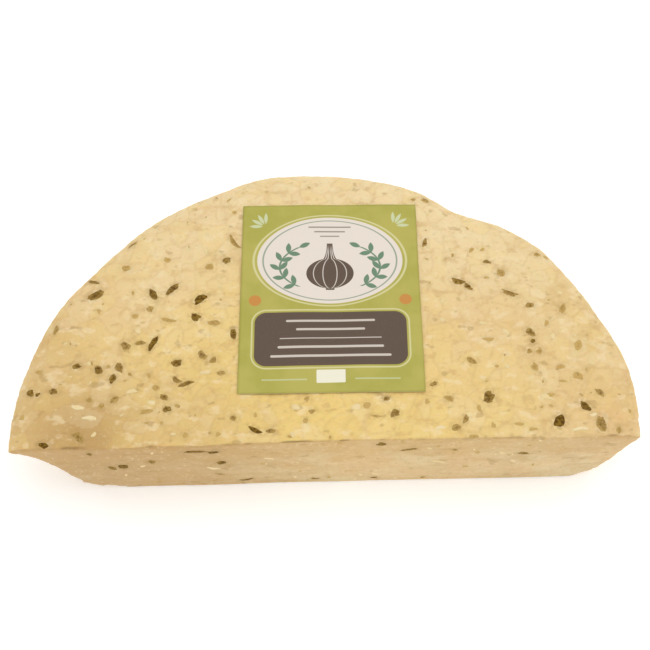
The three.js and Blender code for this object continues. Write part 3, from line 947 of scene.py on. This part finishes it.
class Signal:
    """A value that changes over a surface. Arithmetic on it adds Math nodes."""

    def __init__(self, finish, socket):
        self.finish = finish
        self.socket = socket

    def math(self, operation, *values):
        return self.finish.node("ShaderNodeMath", {"operation": operation}, dict(enumerate(values)))

    def __add__(self, other):
        return self.math("ADD", self, other)

    def __radd__(self, other):
        return self.math("ADD", other, self)

    def __sub__(self, other):
        return self.math("SUBTRACT", self, other)

    def __rsub__(self, other):
        return self.math("SUBTRACT", other, self)

    def __mul__(self, other):
        return self.math("MULTIPLY", self, other)

    def __rmul__(self, other):
        return self.math("MULTIPLY", other, self)

    def __truediv__(self, other):
        return self.math("DIVIDE", self, other)

    def __abs__(self):
        return self.math("ABSOLUTE", self)

    def squared(self):
        return self.math("MULTIPLY", self, self)

    def root(self):
        return self.math("SQRT", self)

    def most(self, other):
        return self.math("MAXIMUM", self, other)

    def falling(self):
        """1 where the value is 0, and less and less as it grows"""
        return self.math("EXPONENT", -1 * self)

    def ease(self, low, high):
        """0 at low, 1 at high and smooth between them, where high may be the smaller"""
        inputs = {"Value": self, "From Min": low, "From Max": high}
        return self.finish.node("ShaderNodeMapRange", {"interpolation_type": "SMOOTHSTEP"}, inputs)


class Finish:
    """A material, with one method that adds every node and helpers that call it"""

    def __init__(self, name):
        old = bpy.data.materials.get(name)
        if old is not None:
            bpy.data.materials.remove(old)
        self.material = bpy.data.materials.new(name)
        self.material.use_nodes = True
        self.shader = self.material.node_tree.nodes["Principled BSDF"]

    def node(self, kind, settings=None, inputs=None, output=0):
        made = self.material.node_tree.nodes.new(kind)
        for name, value in (settings or {}).items():
            setattr(made, name, value)
        for name, value in (inputs or {}).items():
            self.feed(made.inputs[name], value)
        return Signal(self, made.outputs[output])

    def feed(self, socket, value):
        if isinstance(value, Signal):
            self.material.node_tree.links.new(value.socket, socket)
        else:
            socket.default_value = value

    def set(self, **sockets):
        """Values or signals for the shader, by its sockets' names with _ for a space"""
        for name, value in sockets.items():
            self.feed(self.shader.inputs[name.replace("_", " ")], value)

    def millimetres(self):
        place = self.node("ShaderNodeTexCoord", output="Object")
        return self.vector("SCALE", place, Scale=1 / MM)

    def vector(self, operation, first, second=None, output=0, **inputs):
        inputs[0] = first
        if second is not None:
            inputs[1] = second
        return self.node("ShaderNodeVectorMath", {"operation": operation}, inputs, output)

    def axes(self, place):
        return [self.node("ShaderNodeSeparateXYZ", inputs={0: place}, output=k) for k in range(3)]

    def attribute(self, name):
        return self.node("ShaderNodeAttribute", {"attribute_name": name}, output="Fac")

    def noise(self, place, size, detail=2.0, roughness=0.5):
        inputs = {"Vector": place, "Scale": 1 / size, "Detail": detail, "Roughness": roughness}
        return self.node("ShaderNodeTexNoise", inputs=inputs)

    def cells(self, place, size, output="Distance"):
        inputs = {"Vector": place, "Scale": 1 / size}
        return self.node("ShaderNodeTexVoronoi", inputs=inputs, output=output)

    def mix(self, share, under, over):
        """The colour under, with a share of the colour over on it"""
        colours = {0: share}
        for socket, colour in ((6, under), (7, over)):
            colours[socket] = colour if isinstance(colour, Signal) else opaque(colour)
        return self.node("ShaderNodeMix", {"data_type": "RGBA"}, colours, 2)

    def bump(self, height, distance, strength=1.0):
        inputs = {"Height": height, "Distance": distance, "Strength": strength}
        return self.node("ShaderNodeBump", inputs=inputs)


def scaled(colour, factor):
    return tuple(min(value * factor, 1.0) for value in colour[:3])


def banded(finish, value, colour, settings, bands):
    """The colour with each band's colour mixed in where the value is within the band"""
    for start, whole, strength, name in bands:
        colour = finish.mix(value.ease(start, whole) * strength, colour, getattr(settings, name))
    return colour


def mottled(finish, place, colour, settings, mottles):
    """The colour with one noise after another mixed in"""
    for size, detail, roughness, stretch, bands in mottles:
        spot = place if stretch is None else finish.vector("MULTIPLY", place, stretch)
        noise = finish.noise(spot, size, detail, roughness)
        colour = banded(finish, noise, colour, settings, bands)
    return colour


def top_colour(finish, place, settings):
    """Clouds, broad tints with some painted light and shade, single curds and fine flecks of the
    pressed surface
    """
    x, y, _ = finish.axes(place)
    seam, curd = finish.attribute("seam"), finish.attribute("curd")
    colour = mottled(finish, place, settings.body, settings, TOP_CLOUDS)
    for tint_x, tint_y, reach, name, strength in TOP_TINTS:
        gap = (x - (tint_x + FRAME_SHIFT[0])).squared() + (y - (tint_y + FRAME_SHIFT[1])).squared()
        near = (gap / (2 * reach**2)).falling()
        colour = finish.mix(near * strength, colour, getattr(settings, name))
    colour = banded(finish, curd, colour, settings, CURD_BANDS)
    colour = banded(finish, seam, colour, settings, SEAM_BANDS)
    return mottled(finish, place, colour, settings, TOP_FLECKS)


def cut_colour(finish, place, settings):
    """Blotched colour of the cut, darker near its upper edge, and darker at its left end partly by
    painted shade
    """
    x, _, z = finish.axes(place)
    colour = mottled(finish, place, settings.cut, settings, CUT_CLOUDS)
    colour = banded(finish, z, colour, settings, CUT_HEIGHT_BANDS)
    colour = banded(finish, x, colour, settings, CUT_LEFT_BANDS)
    tears = finish.noise(finish.vector("MULTIPLY", place, TEAR_STRETCH), 3.6, 3, 0.6)
    low, high = TEAR_STRENGTH
    strength = low + z.ease(*TEARS_UNDER_EDGE) * (high - low)
    colour = finish.mix(tears.ease(*TEARS_AT) * strength, colour, settings.rind_and_shade)
    return mottled(finish, place, colour, settings, CUT_GRAIN)


def cheese_finish(settings):
    """Pressed curd: clouded and flecked, with herbs showing faintly from below and a dragged cut"""
    finish = Finish("cheese_paste")
    place = finish.millimetres()
    cut, stain = finish.attribute("cut"), finish.attribute("stain")
    colour = top_colour(finish, place, settings)
    speed, ragged, share = CUT_TAKES_OVER
    worn = (cut * speed - finish.noise(place, 6, 3) * ragged).ease(0.0, 1.0)
    colour = finish.mix(worn * share, colour, cut_colour(finish, place, settings))
    colour = mottled(finish, place, colour, settings, SUNK_HERBS)
    patchy = finish.noise(place, 2.4, 3, 0.6).ease(0.35, 0.62)
    colour = finish.mix(stain * patchy * STAIN_STRENGTH, colour, settings.stain)

    fine = finish.noise(place, 1.5, 3, 0.65)
    drag = finish.noise(finish.vector("MULTIPLY", place, DRAG_STRETCH), 2.2, 3, 0.6)
    height = fine * FINE_GRAIN_SHARE + finish.noise(place, 5.5, 4, 0.6) + drag * cut * DRAG_SHARE
    finish.set(
        Base_Color=colour,
        Roughness=0.42 + finish.noise(place, 7, 3) * 0.2,
        Normal=finish.bump(height, settings.grain_depth),
        Subsurface_Weight=settings.glow,
        Subsurface_Radius=(1.0, 0.55, 0.25),
        Subsurface_Scale=settings.glow_reach,
        Specular_IOR_Level=0.35,
    )
    return finish.material


def herb_finish(settings):
    """Damp dried leaf: olive brown, with a film of curd over its rim and over the fainter scraps"""
    finish = Finish("herb_leaf")
    place = finish.millimetres()
    tone, rim = finish.attribute("tone"), finish.attribute("rim")
    leaf = finish.mix(finish.noise(place, 1.4, 3).ease(0.38, 0.62), settings.dark, settings.olive)
    torn = finish.noise(place, 1.1, 3, 0.65)
    torn_share, rim_share, faint_share = FILM_SHARES
    film = torn * torn_share + rim.squared() * rim_share + (1 - tone) * faint_share
    covered = film.ease(*FILM_CLOSES)
    colour = finish.mix(covered, leaf, settings.film)
    finish.set(
        Base_Color=colour,
        Roughness=0.55 + finish.noise(place, 2, 2) * 0.2,
        Normal=finish.bump(finish.noise(place, 0.8, 3), LEAF_GRAIN),
        Subsurface_Weight=0.1,
        Subsurface_Radius=(1.0, 0.6, 0.3),
        Subsurface_Scale=0.0008,
        Specular_IOR_Level=0.12,
    )
    return finish.material


def garlic_finish(settings):
    """Pale, waxy garlic granules, nearly the cheese's own colour where they are faint"""
    finish = Finish("garlic_bits")
    place = finish.millimetres()
    tone = finish.attribute("tone")
    colour = finish.mix(tone.ease(0.0, 1.0), settings.faint, settings.bright)
    colour = finish.mix(finish.noise(place, 1.6, 3).ease(0.48, 0.66) * 0.6, colour, settings.faint)
    finish.set(
        Base_Color=colour,
        Roughness=0.4 + finish.noise(place, 2, 2) * 0.2,
        Normal=finish.bump(finish.noise(place, 0.9, 3), GARLIC_GRAIN),
        Subsurface_Weight=0.3,
        Subsurface_Radius=(1.0, 0.7, 0.4),
        Subsurface_Scale=0.0012,
        Specular_IOR_Level=0.35,
    )
    return finish.material


# Print of the label, in millimetres from its near left corner. The print is the same on both
# sides of its middle line, so across is how far a place is from that line.
PRINT_SOFT = 0.14
# How strong the ink is in the badge's ring and the plaque's bars, and in the other bars
FIRM_INK = 0.75
THIN_INK = 0.7
# Middle, half width and half height, and the ring in it as (share of its size, half thickness)
BADGE = (76.0, 37.0, 26.0)
BADGE_RING = (0.92, 0.28)
# Middle, half width, half height and how round its corners are
PLAQUE = (30.0, 37.5, 15.0, 6.0)
# Where the thin line round the badge and the plaque starts and ends
KEYLINE = (0.9, 1.7)
# Bars as (height on the label, half length, half thickness)
PLAQUE_BARS = (
    (40.0, 22.0, 0.6),
    (35.2, 17.0, 0.6),
    (30.2, 25.0, 0.25),
    (25.4, 26.0, 0.65),
    (20.4, 29.5, 0.65),
)
BADGE_BARS = ((96.0, 11.0, 0.4), (93.2, 8.0, 0.4), (90.4, 5.0, 0.35))
# Head of garlic: middle, half width and half height, the flare of its neck, its top and cloves
BULB = (68.0, 12.0, 9.0)
BULB_NECK = (72.0, 8.0, 3.4, 1.3)
BULB_TOP = 86.0
BULB_CLOVES = (0.3, 0.7)
# Half thickness of the clove lines, how far below the top they fade, and how strong they are
CLOVE_LINES = (0.22, 6.0, 0.85)
BULB_ROOT = (58.9, 2.2, 0.8)
# Sprig: middle, half width and half height of the oval that its stem follows; the stem's ends
# on it in degrees and its half thickness; where its leaves grow, and their half sizes and lean
SPRIG = (72.0, 25.5, 15.0)
SPRIG_STEM = (-52.0, 52.0, 0.3)
SPRIG_TURNS = (-46.0, -26.0, -6.0, 14.0, 34.0)
SPRIG_LEAF = (1.35, 3.1)
SPRIG_LEAN = 48.0
# Disc on each side: how far out, its height on the label and its radius
SIDE_DISC = (37.6, 52.0, 3.1)
# Corner sprig: where its leaves would meet, how far each starts from there, and their headings
CORNER_SPRIG = (33.0, 97.0)
CORNER_GAP = 1.6
CORNER_HEADINGS = (0.0, 30.0, 60.0, 90.0)
CORNER_LEAF = (0.95, 3.4)
# At the foot: a blank box, given like the plaque, and a line on each side, given like a bar
BLANK_BOX = (9.0, 7.0, 3.6, 0.5)
FOOT_LINES = ((7.4, 11.0, 0.4),)
FOOT_LINES_FROM = 22.5


def oval(across, away, half_width, half_length):
    """Millimetres outside an oval, nearly, and below 0 inside it"""
    reach = ((across / half_width).squared() + (away / half_length).squared()).root()
    return (reach - 1) * min(half_width, half_length)


def round_box(across, away, half_width, half_length, corner):
    """Millimetres outside a box with round corners"""
    beside = (abs(across) - (half_width - corner)).most(0)
    beyond = (abs(away) - (half_length - corner)).most(0)
    return (beside.squared() + beyond.squared()).root() - corner


def inked(distance, outside=0.0):
    """1 within a shape, 0 outside it"""
    return distance.ease(outside + PRINT_SOFT, outside - PRINT_SOFT)


def leaf(side, v, base, heading, half_width, half_length, gap=0.0):
    """1 within a leaf with two points that grows a gap from its base, its heading in degrees"""
    cosine, sine = math.cos(math.radians(heading)), math.sin(math.radians(heading))
    beside, beyond = side - base[0], v - base[1]
    along = (beside * cosine + beyond * sine - (gap + half_length)) / half_length
    across = abs(beyond * cosine - beside * sine) / half_width
    return inked((across + along.squared() - 1) * half_width)


def any_of(masks):
    total = masks[0]
    for mask in masks[1:]:
        total = total.most(mask)
    return total


def bars_mask(side, v, bars):
    """1 within any of some plain bars"""
    return any_of([inked(round_box(side, v - at, half, thick, thick)) for at, half, thick in bars])


def framed(finish, edge, colour, fill, settings):
    """The colour with a filled shape on it and a thin pale line round that"""
    near, far = KEYLINE
    colour = finish.mix(inked(edge, far) - inked(edge, near), colour, settings.keyline)
    return finish.mix(inked(edge), colour, fill)


def sprig_mask(side, v):
    """1 within a sprig whose stem follows an oval, with leaves in pairs and one at its tip"""
    middle, half_width, half_length = SPRIG
    low, high, thick = SPRIG_STEM
    edge = abs(oval(side, v - middle, half_width, half_length))
    ends = [middle + half_length * math.sin(math.radians(turn)) for turn in (low, high)]
    on_right = side.ease(half_width / 4, half_width / 3)
    stem = inked(edge, thick) * v.ease(ends[0] - 0.1, ends[0]) * v.ease(ends[1] + 0.1, ends[1])
    leaves = [stem * on_right]
    for turn in (*SPRIG_TURNS, high):
        angle = math.radians(turn)
        cosine, sine = math.cos(angle), math.sin(angle)
        base = (half_width * cosine, middle + half_length * sine)
        growing = math.degrees(math.atan2(half_length * cosine, -half_width * sine))
        leans = (0,) if turn == high else (-SPRIG_LEAN, SPRIG_LEAN)
        leaves += [leaf(side, v, base, growing + lean, *SPRIG_LEAF) for lean in leans]
    return any_of(leaves)


def bulb_art(finish, side, v, colour, settings):
    """A head of garlic: a round body that narrows to its neck, with clove lines that follow it"""
    middle, half_width, half_length = BULB
    body = (1 - ((v - middle) / half_length).squared()).most(0).root() * half_width
    neck_from, flare, fall, stem = BULB_NECK
    neck = ((v - neck_from) / fall).falling() * flare + stem
    half = body.most(neck * v.ease(neck_from - 0.1, neck_from))
    bulb = inked(side - half) * half.ease(0.1, 0.6) * inked(v - BULB_TOP)
    root_at, root_half, root_thick = BULB_ROOT
    root = inked(round_box(side, v - root_at, root_half, root_thick, root_thick / 2))
    colour = finish.mix(bulb.most(root), colour, settings.ink)
    clove_half, clove_fade, clove_ink = CLOVE_LINES
    lines = any_of([inked(abs(side - half * share), clove_half) for share in BULB_CLOVES])
    lines = lines * bulb * v.ease(BULB_TOP, BULB_TOP - clove_fade)
    return finish.mix(lines * clove_ink, colour, settings.badge)


def badge_art(finish, side, v, colour, settings):
    """A pale oval that holds a head of garlic between two herb sprigs"""
    middle, half_width, half_length = BADGE
    edge = oval(side, v - middle, half_width, half_length)
    colour = framed(finish, edge, colour, settings.badge, settings)
    ring_share, ring_half = BADGE_RING
    ring = abs(edge + (1 - ring_share) * half_length)
    colour = finish.mix(inked(ring, ring_half) * FIRM_INK, colour, settings.sprig)
    colour = finish.mix(bars_mask(side, v, BADGE_BARS) * THIN_INK, colour, settings.ink)
    colour = finish.mix(sprig_mask(side, v), colour, settings.sprig)
    return bulb_art(finish, side, v, colour, settings)


def plaque_art(finish, side, v, colour, settings):
    """A dark round-cornered plaque with a pale keyline and plain bars"""
    middle, half_width, half_length, corner = PLAQUE
    edge = round_box(side, v - middle, half_width, half_length, corner)
    colour = framed(finish, edge, colour, settings.ink, settings)
    return finish.mix(bars_mask(side, v, PLAQUE_BARS) * FIRM_INK, colour, settings.badge)


def trim_art(finish, side, v, colour, settings):
    """Corner leaves, side discs, and a blank box with a line on each side of it"""
    leaves = []
    for heading in CORNER_HEADINGS:
        leaves.append(leaf(side, v, CORNER_SPRIG, heading, *CORNER_LEAF, gap=CORNER_GAP))
    colour = finish.mix(any_of(leaves), colour, settings.corner)
    across_at, away_at, radius = SIDE_DISC
    disc = oval(side - across_at, v - away_at, radius, radius)
    colour = finish.mix(inked(disc), colour, settings.disc)
    at, half_width, half_length, corner = BLANK_BOX
    box = round_box(side, v - at, half_width, half_length, corner)
    colour = finish.mix(inked(box), colour, settings.blank)
    lines = bars_mask(side - FOOT_LINES_FROM, v, FOOT_LINES)
    return finish.mix(lines * THIN_INK, colour, settings.corner)


def label_finish(settings):
    """Matt printed paper, a little mottled by the cheese below it"""
    finish = Finish("label_print")
    place = finish.millimetres()
    turn = math.radians(LABEL_TURN)
    middle = [LABEL_CENTRE[axis] + FRAME_SHIFT[axis] for axis in range(2)]
    from_middle = finish.vector("SUBTRACT", place, (*middle, 0.0))
    u = finish.vector("DOT_PRODUCT", from_middle, (math.cos(turn), math.sin(turn), 0.0), "Value")
    v = finish.vector("DOT_PRODUCT", from_middle, (-math.sin(turn), math.cos(turn), 0.0), "Value")
    side, v = abs(u), v + LABEL_LENGTH / 2

    damp = finish.noise(place, 22, 3, 0.6)
    colour = finish.mix(damp.ease(0.35, 0.65), settings.field, settings.field_deep)
    colour = badge_art(finish, side, v, colour, settings)
    colour = plaque_art(finish, side, v, colour, settings)
    colour = trim_art(finish, side, v, colour, settings)
    fibre = finish.noise(place, 0.55, 3, 0.7)
    colour = finish.mix(fibre.ease(0.58, 0.8) * 0.12, colour, settings.blank)
    facing = finish.axes(finish.node("ShaderNodeNewGeometry", output="Normal"))[2]
    colour = finish.mix(abs(facing).ease(0.7, 0.3), colour, settings.blank)

    height = fibre * 0.3 + finish.noise(place, 4.5, 3, 0.6)
    finish.set(
        Base_Color=colour,
        Roughness=0.48 + finish.noise(place, 3, 2) * 0.16,
        Normal=finish.bump(height, PAPER_GRAIN),
        Specular_IOR_Level=0.35,
    )
    return finish.material


def floor_finish(settings):
    finish = Finish("studio_floor")
    place = finish.millimetres()
    soft = finish.noise(place, 90, 2).ease(0.3, 0.7)
    finish.set(
        Base_Color=finish.mix(soft, scaled(settings.floor, 0.99), settings.floor),
        Roughness=0.75 + finish.noise(place, 30, 2) * 0.1,
        Specular_IOR_Level=0.2,
        Emission_Color=opaque(settings.floor),
        Emission_Strength=settings.floor_glow,
    )
    return finish.material


# Pieces


def add_piece(name, mesh, material):
    """An object for the mesh, in place of one of the same name"""
    old = bpy.data.objects.get(name)
    if old is not None:
        bpy.data.objects.remove(old)
    mesh.materials.clear()
    mesh.materials.append(material)
    piece = bpy.data.objects.new(name, mesh)
    bpy.context.scene.collection.objects.link(piece)
    return piece


def add_light(name, place, aim, size, watts):
    lamp = bpy.data.lights.new(name, "AREA")
    lamp.size = size
    lamp.energy = watts
    light = bpy.data.objects.new(name, lamp)
    light.location = place
    light.rotation_euler = (Vector(aim) - Vector(place)).to_track_quat("-Z", "Y").to_euler()
    light.visible_camera = False
    bpy.context.scene.collection.objects.link(light)
    return light


def paint(name, description, *screen):
    """A colour setting, from the 0 to 255 values of a screen"""
    return FloatVectorProperty(
        name=name, description=description, default=screen_colour(*screen),
        subtype="COLOR", min=0, max=1,
    )


def short_length(name, description, metres):
    """A setting for a small depth, height or reach"""
    return FloatProperty(
        name=name, description=description, default=metres, min=0, precision=5, unit="LENGTH",
    )


def spread_seed(description, default):
    return IntProperty(name="Seed", description=description, default=default, min=0)


class WheelSettings(bpy.types.PropertyGroup):
    """Relief and colours of the cheese"""

    spacing: FloatProperty(
        name="Point spacing", description="Distance between the points of the surface",
        default=0.0011, min=0.0008, precision=4, unit="LENGTH",
    )
    curd_depth: short_length("Curd depth", "Depth of the seams between pressed curds", 0.00035)
    pit_depth: short_length("Pit depth", "Depth of the small open pits", 0.0006)
    drag_depth: short_length("Knife line depth", "Depth of the knife's lines on the cut", 0.00016)
    cut_depth: short_length("Cut waviness", "How far the cut waves in and out", 0.0009)
    chip_depth: short_length("Chip depth", "How much has crumbled from the cut's edges", 0.0014)
    grain_depth: short_length("Grain depth", "Depth of the finest grain", 0.0006)
    glow: FloatProperty(
        name="Glow", description="Share of the light that passes through the surface",
        default=0.25, min=0, max=1, subtype="FACTOR",
    )
    glow_reach: short_length("Glow reach", "How far light travels under the surface", 0.002)
    body: paint("Body", "Main colour of the paste", 223, 193, 132)
    cream: paint("Cream", "Palest curds", 233, 209, 159)
    fleck: paint("Fleck", "Fine pale flecks", 240, 219, 175)
    butter: paint("Butter", "Yellower patches", 236, 205, 121)
    amber: paint("Amber", "Drier, darker patches", 203, 165, 104)
    blush: paint("Blush", "Warmer, pinker patches", 221, 180, 125)
    cut: paint("Cut", "Main colour of the cut", 202, 172, 121)
    cut_pale: paint("Pale cut", "Pale blotches on the cut", 219, 197, 152)
    # Dark colour of the cut's tears, grain and left end; at the left end it is partly painted shade
    rind_and_shade: paint("Dark cut and painted shade", "Darker end and tears of the cut", 183, 144, 87)
    stain: paint("Stain", "Cheese round and over the herbs", 172, 138, 78)


class HerbSettings(bpy.types.PropertyGroup):
    """Herb scraps in the cheese"""

    seed: spread_seed("Another spread of the small scraps", 7)
    rise: short_length("Rise", "How far a scrap stands above the cheese", 0.00035)
    dark: paint("Dark leaf", "Darkest leaf", 90, 60, 10)
    olive: paint("Olive leaf", "Greener leaf", 134, 104, 32)
    film: paint("Film", "Leaf seen through a film of curd", 200, 166, 100)


class GarlicSettings(bpy.types.PropertyGroup):
    """Garlic bits in the cheese"""

    seed: spread_seed("Another spread of the small bits", 19)
    rise: short_length("Rise", "How far a bit stands above the cheese", 0.0003)
    bright: paint("Bright", "Palest bits", 238, 216, 168)
    faint: paint("Faint", "Bits that hardly show", 231, 204, 147)


class LabelSettings(bpy.types.PropertyGroup):
    """Inks of the label"""

    field: paint("Field", "Green of the label", 182, 173, 84)
    field_deep: paint("Deep field", "Green where the paper is damp", 171, 165, 72)
    badge: paint("Badge", "Cream of the oval badge", 227, 216, 203)
    ink: paint("Brown ink", "Plaque, garlic and bars", 92, 74, 60)
    keyline: paint("Keyline", "Thin line round the badge and the plaque", 209, 203, 146)
    sprig: paint("Sprig", "Herb sprigs and the badge's thin ring", 104, 134, 106)
    disc: paint("Disc", "Orange discs", 198, 136, 62)
    corner: paint("Corner leaves", "Pale leaves and the lines at the foot", 200, 206, 160)
    blank: paint("Blank box", "Bare paper", 236, 231, 208)


class StageSettings(bpy.types.PropertyGroup):
    """Floor and light"""

    floor: FloatVectorProperty(
        name="Floor", description="Floor's colour", default=(0.95, 0.95, 0.945),
        subtype="COLOR", min=0, max=1,
    )
    floor_glow: FloatProperty(
        name="Floor glow", description="Light from the floor itself, as of a lit table",
        default=0.25, min=0,
    )
    sky: FloatProperty(name="Sky", description="Even light from all round", default=0.84, min=0)
    key: FloatProperty(
        name="Key light", description="Large soft light above", default=5.0, min=0, unit="POWER",
    )
    fill: FloatProperty(
        name="Fill light", description="Soft light from the front",
        default=0.6, min=0, unit="POWER",
    )


class CHEESE_OT_stage(bpy.types.Operator):
    """Lays the floor and sets the lights and the camera"""

    bl_idname = "cheese.stage"
    bl_label = "Set the stage"

    def execute(self, context):
        settings = context.scene.cheese_stage
        turned = ((-1, -1), (1, -1), (1, 1), (-1, 1))
        corners = [(x * FLOOR_HALF, y * FLOOR_HALF, 0) for x, y in turned]
        square = mesh_from("floor", corners, [(0, 1, 2, 3)])
        floor = add_piece("floor", square, floor_finish(settings))
        world = context.scene.world or bpy.data.worlds.new("studio")
        context.scene.world = world
        world.use_nodes = True
        sky = world.node_tree.nodes["Background"]
        sky.inputs["Color"].default_value = (1.0, 1.0, 1.0, 1.0)
        sky.inputs["Strength"].default_value = settings.sky
        add_light("key_light", *KEY_LAMP, settings.key)
        add_light("fill_light", *FILL_LAMP, settings.fill)
        camera_data = bpy.data.cameras.new("camera")
        camera_data.lens = CAMERA_LENS
        camera_data.sensor_width = CAMERA_SENSOR
        camera = bpy.data.objects.new("camera", camera_data)
        tilt = Matrix.Rotation(math.radians(CAMERA_TILT), 4, "X")
        roll = Matrix.Rotation(math.radians(CAMERA_ROLL), 4, "Z")
        camera.matrix_world = Matrix.Translation(Vector(to_frame(CAMERA_AT))) @ tilt @ roll
        context.scene.collection.objects.link(camera)
        context.scene.camera = camera
        context.scene.view_settings.view_transform = "Standard"
        return {"FINISHED"}


class CHEESE_OT_wheel(bpy.types.Operator):
    """Presses the half wheel, with its curd relief and its cut"""

    bl_idname = "cheese.wheel"
    bl_label = "Press the wheel"

    def execute(self, context):
        settings = context.scene.cheese_wheel
        wheel = add_piece("cheese_wheel", wheel_mesh(settings), cheese_finish(settings))
        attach(wheel, "root")
        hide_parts("cheese")
        return {"FINISHED"}


class CHEESE_OT_herbs(bpy.types.Operator):
    """Lays the herb scraps on every side of the wheel and stains the cheese round them"""

    bl_idname = "cheese.herbs"
    bl_label = "Scatter the herbs"

    def execute(self, context):
        settings = context.scene.cheese_herbs
        wheel, surface = wheel_surface()
        seen = seen_places(surface, TOP_HERBS, CUT_HERBS)
        mesh, places = scraps_laid("herb_scraps", surface, seen, seen, HERB_SPREADS, settings)
        herbs = add_piece("herb_scraps", mesh, herb_finish(settings))
        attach(herbs, "root")
        stain_wheel(wheel, places)
        return {"FINISHED"}


class CHEESE_OT_garlic(bpy.types.Operator):
    """Lays the pale garlic bits on every side of the wheel"""

    bl_idname = "cheese.garlic"
    bl_label = "Scatter the garlic"

    def execute(self, context):
        settings = context.scene.cheese_garlic
        _, surface = wheel_surface()
        seen = seen_places(surface, TOP_GARLIC, CUT_GARLIC)
        taken = seen + seen_places(surface, TOP_HERBS, CUT_HERBS)
        mesh, _ = scraps_laid("garlic_bits", surface, seen, taken, GARLIC_SPREADS, settings)
        garlic = add_piece("garlic_bits", mesh, garlic_finish(settings))
        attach(garlic, "root")
        return {"FINISHED"}


class CHEESE_OT_label(bpy.types.Operator):
    """Lays the printed paper label on the top"""

    bl_idname = "cheese.label"
    bl_label = "Stick the label"

    def execute(self, context):
        settings = context.scene.cheese_label
        label = add_piece("paper_label", label_mesh(), label_finish(settings))
        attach(label, "root")
        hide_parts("label")
        return {"FINISHED"}


class CHEESE_PT_parts(bpy.types.Panel):
    """The steps that make the half wheel, with their sizes and colours"""

    bl_label = "Herb cheddar"
    bl_idname = "CHEESE_PT_parts"
    bl_space_type = "VIEW_3D"
    bl_region_type = "UI"
    bl_category = "Cheese"

    def draw(self, context):
        for step, settings in STEPS.items():
            box = self.layout.box()
            box.operator(step.bl_idname)
            group = getattr(context.scene, settings[0])
            for name in settings[1].__annotations__:
                box.prop(group, name)


STEPS = {
    CHEESE_OT_stage: ("cheese_stage", StageSettings),
    CHEESE_OT_wheel: ("cheese_wheel", WheelSettings),
    CHEESE_OT_herbs: ("cheese_herbs", HerbSettings),
    CHEESE_OT_garlic: ("cheese_garlic", GarlicSettings),
    CHEESE_OT_label: ("cheese_label", LabelSettings),
}


def register():
    for step, (name, group) in STEPS.items():
        bpy.utils.register_class(group)
        bpy.utils.register_class(step)
        setattr(bpy.types.Scene, name, PointerProperty(type=group))
    bpy.utils.register_class(CHEESE_PT_parts)


def unregister():
    bpy.utils.unregister_class(CHEESE_PT_parts)
    for step, (name, group) in STEPS.items():
        delattr(bpy.types.Scene, name)
        bpy.utils.unregister_class(step)
        bpy.utils.unregister_class(group)


def main():
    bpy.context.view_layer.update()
    register()
    bpy.ops.cheese.stage()
    bpy.ops.cheese.wheel()
    bpy.ops.cheese.herbs()
    bpy.ops.cheese.garlic()
    bpy.ops.cheese.label()


if __name__ == "__main__":
    main()
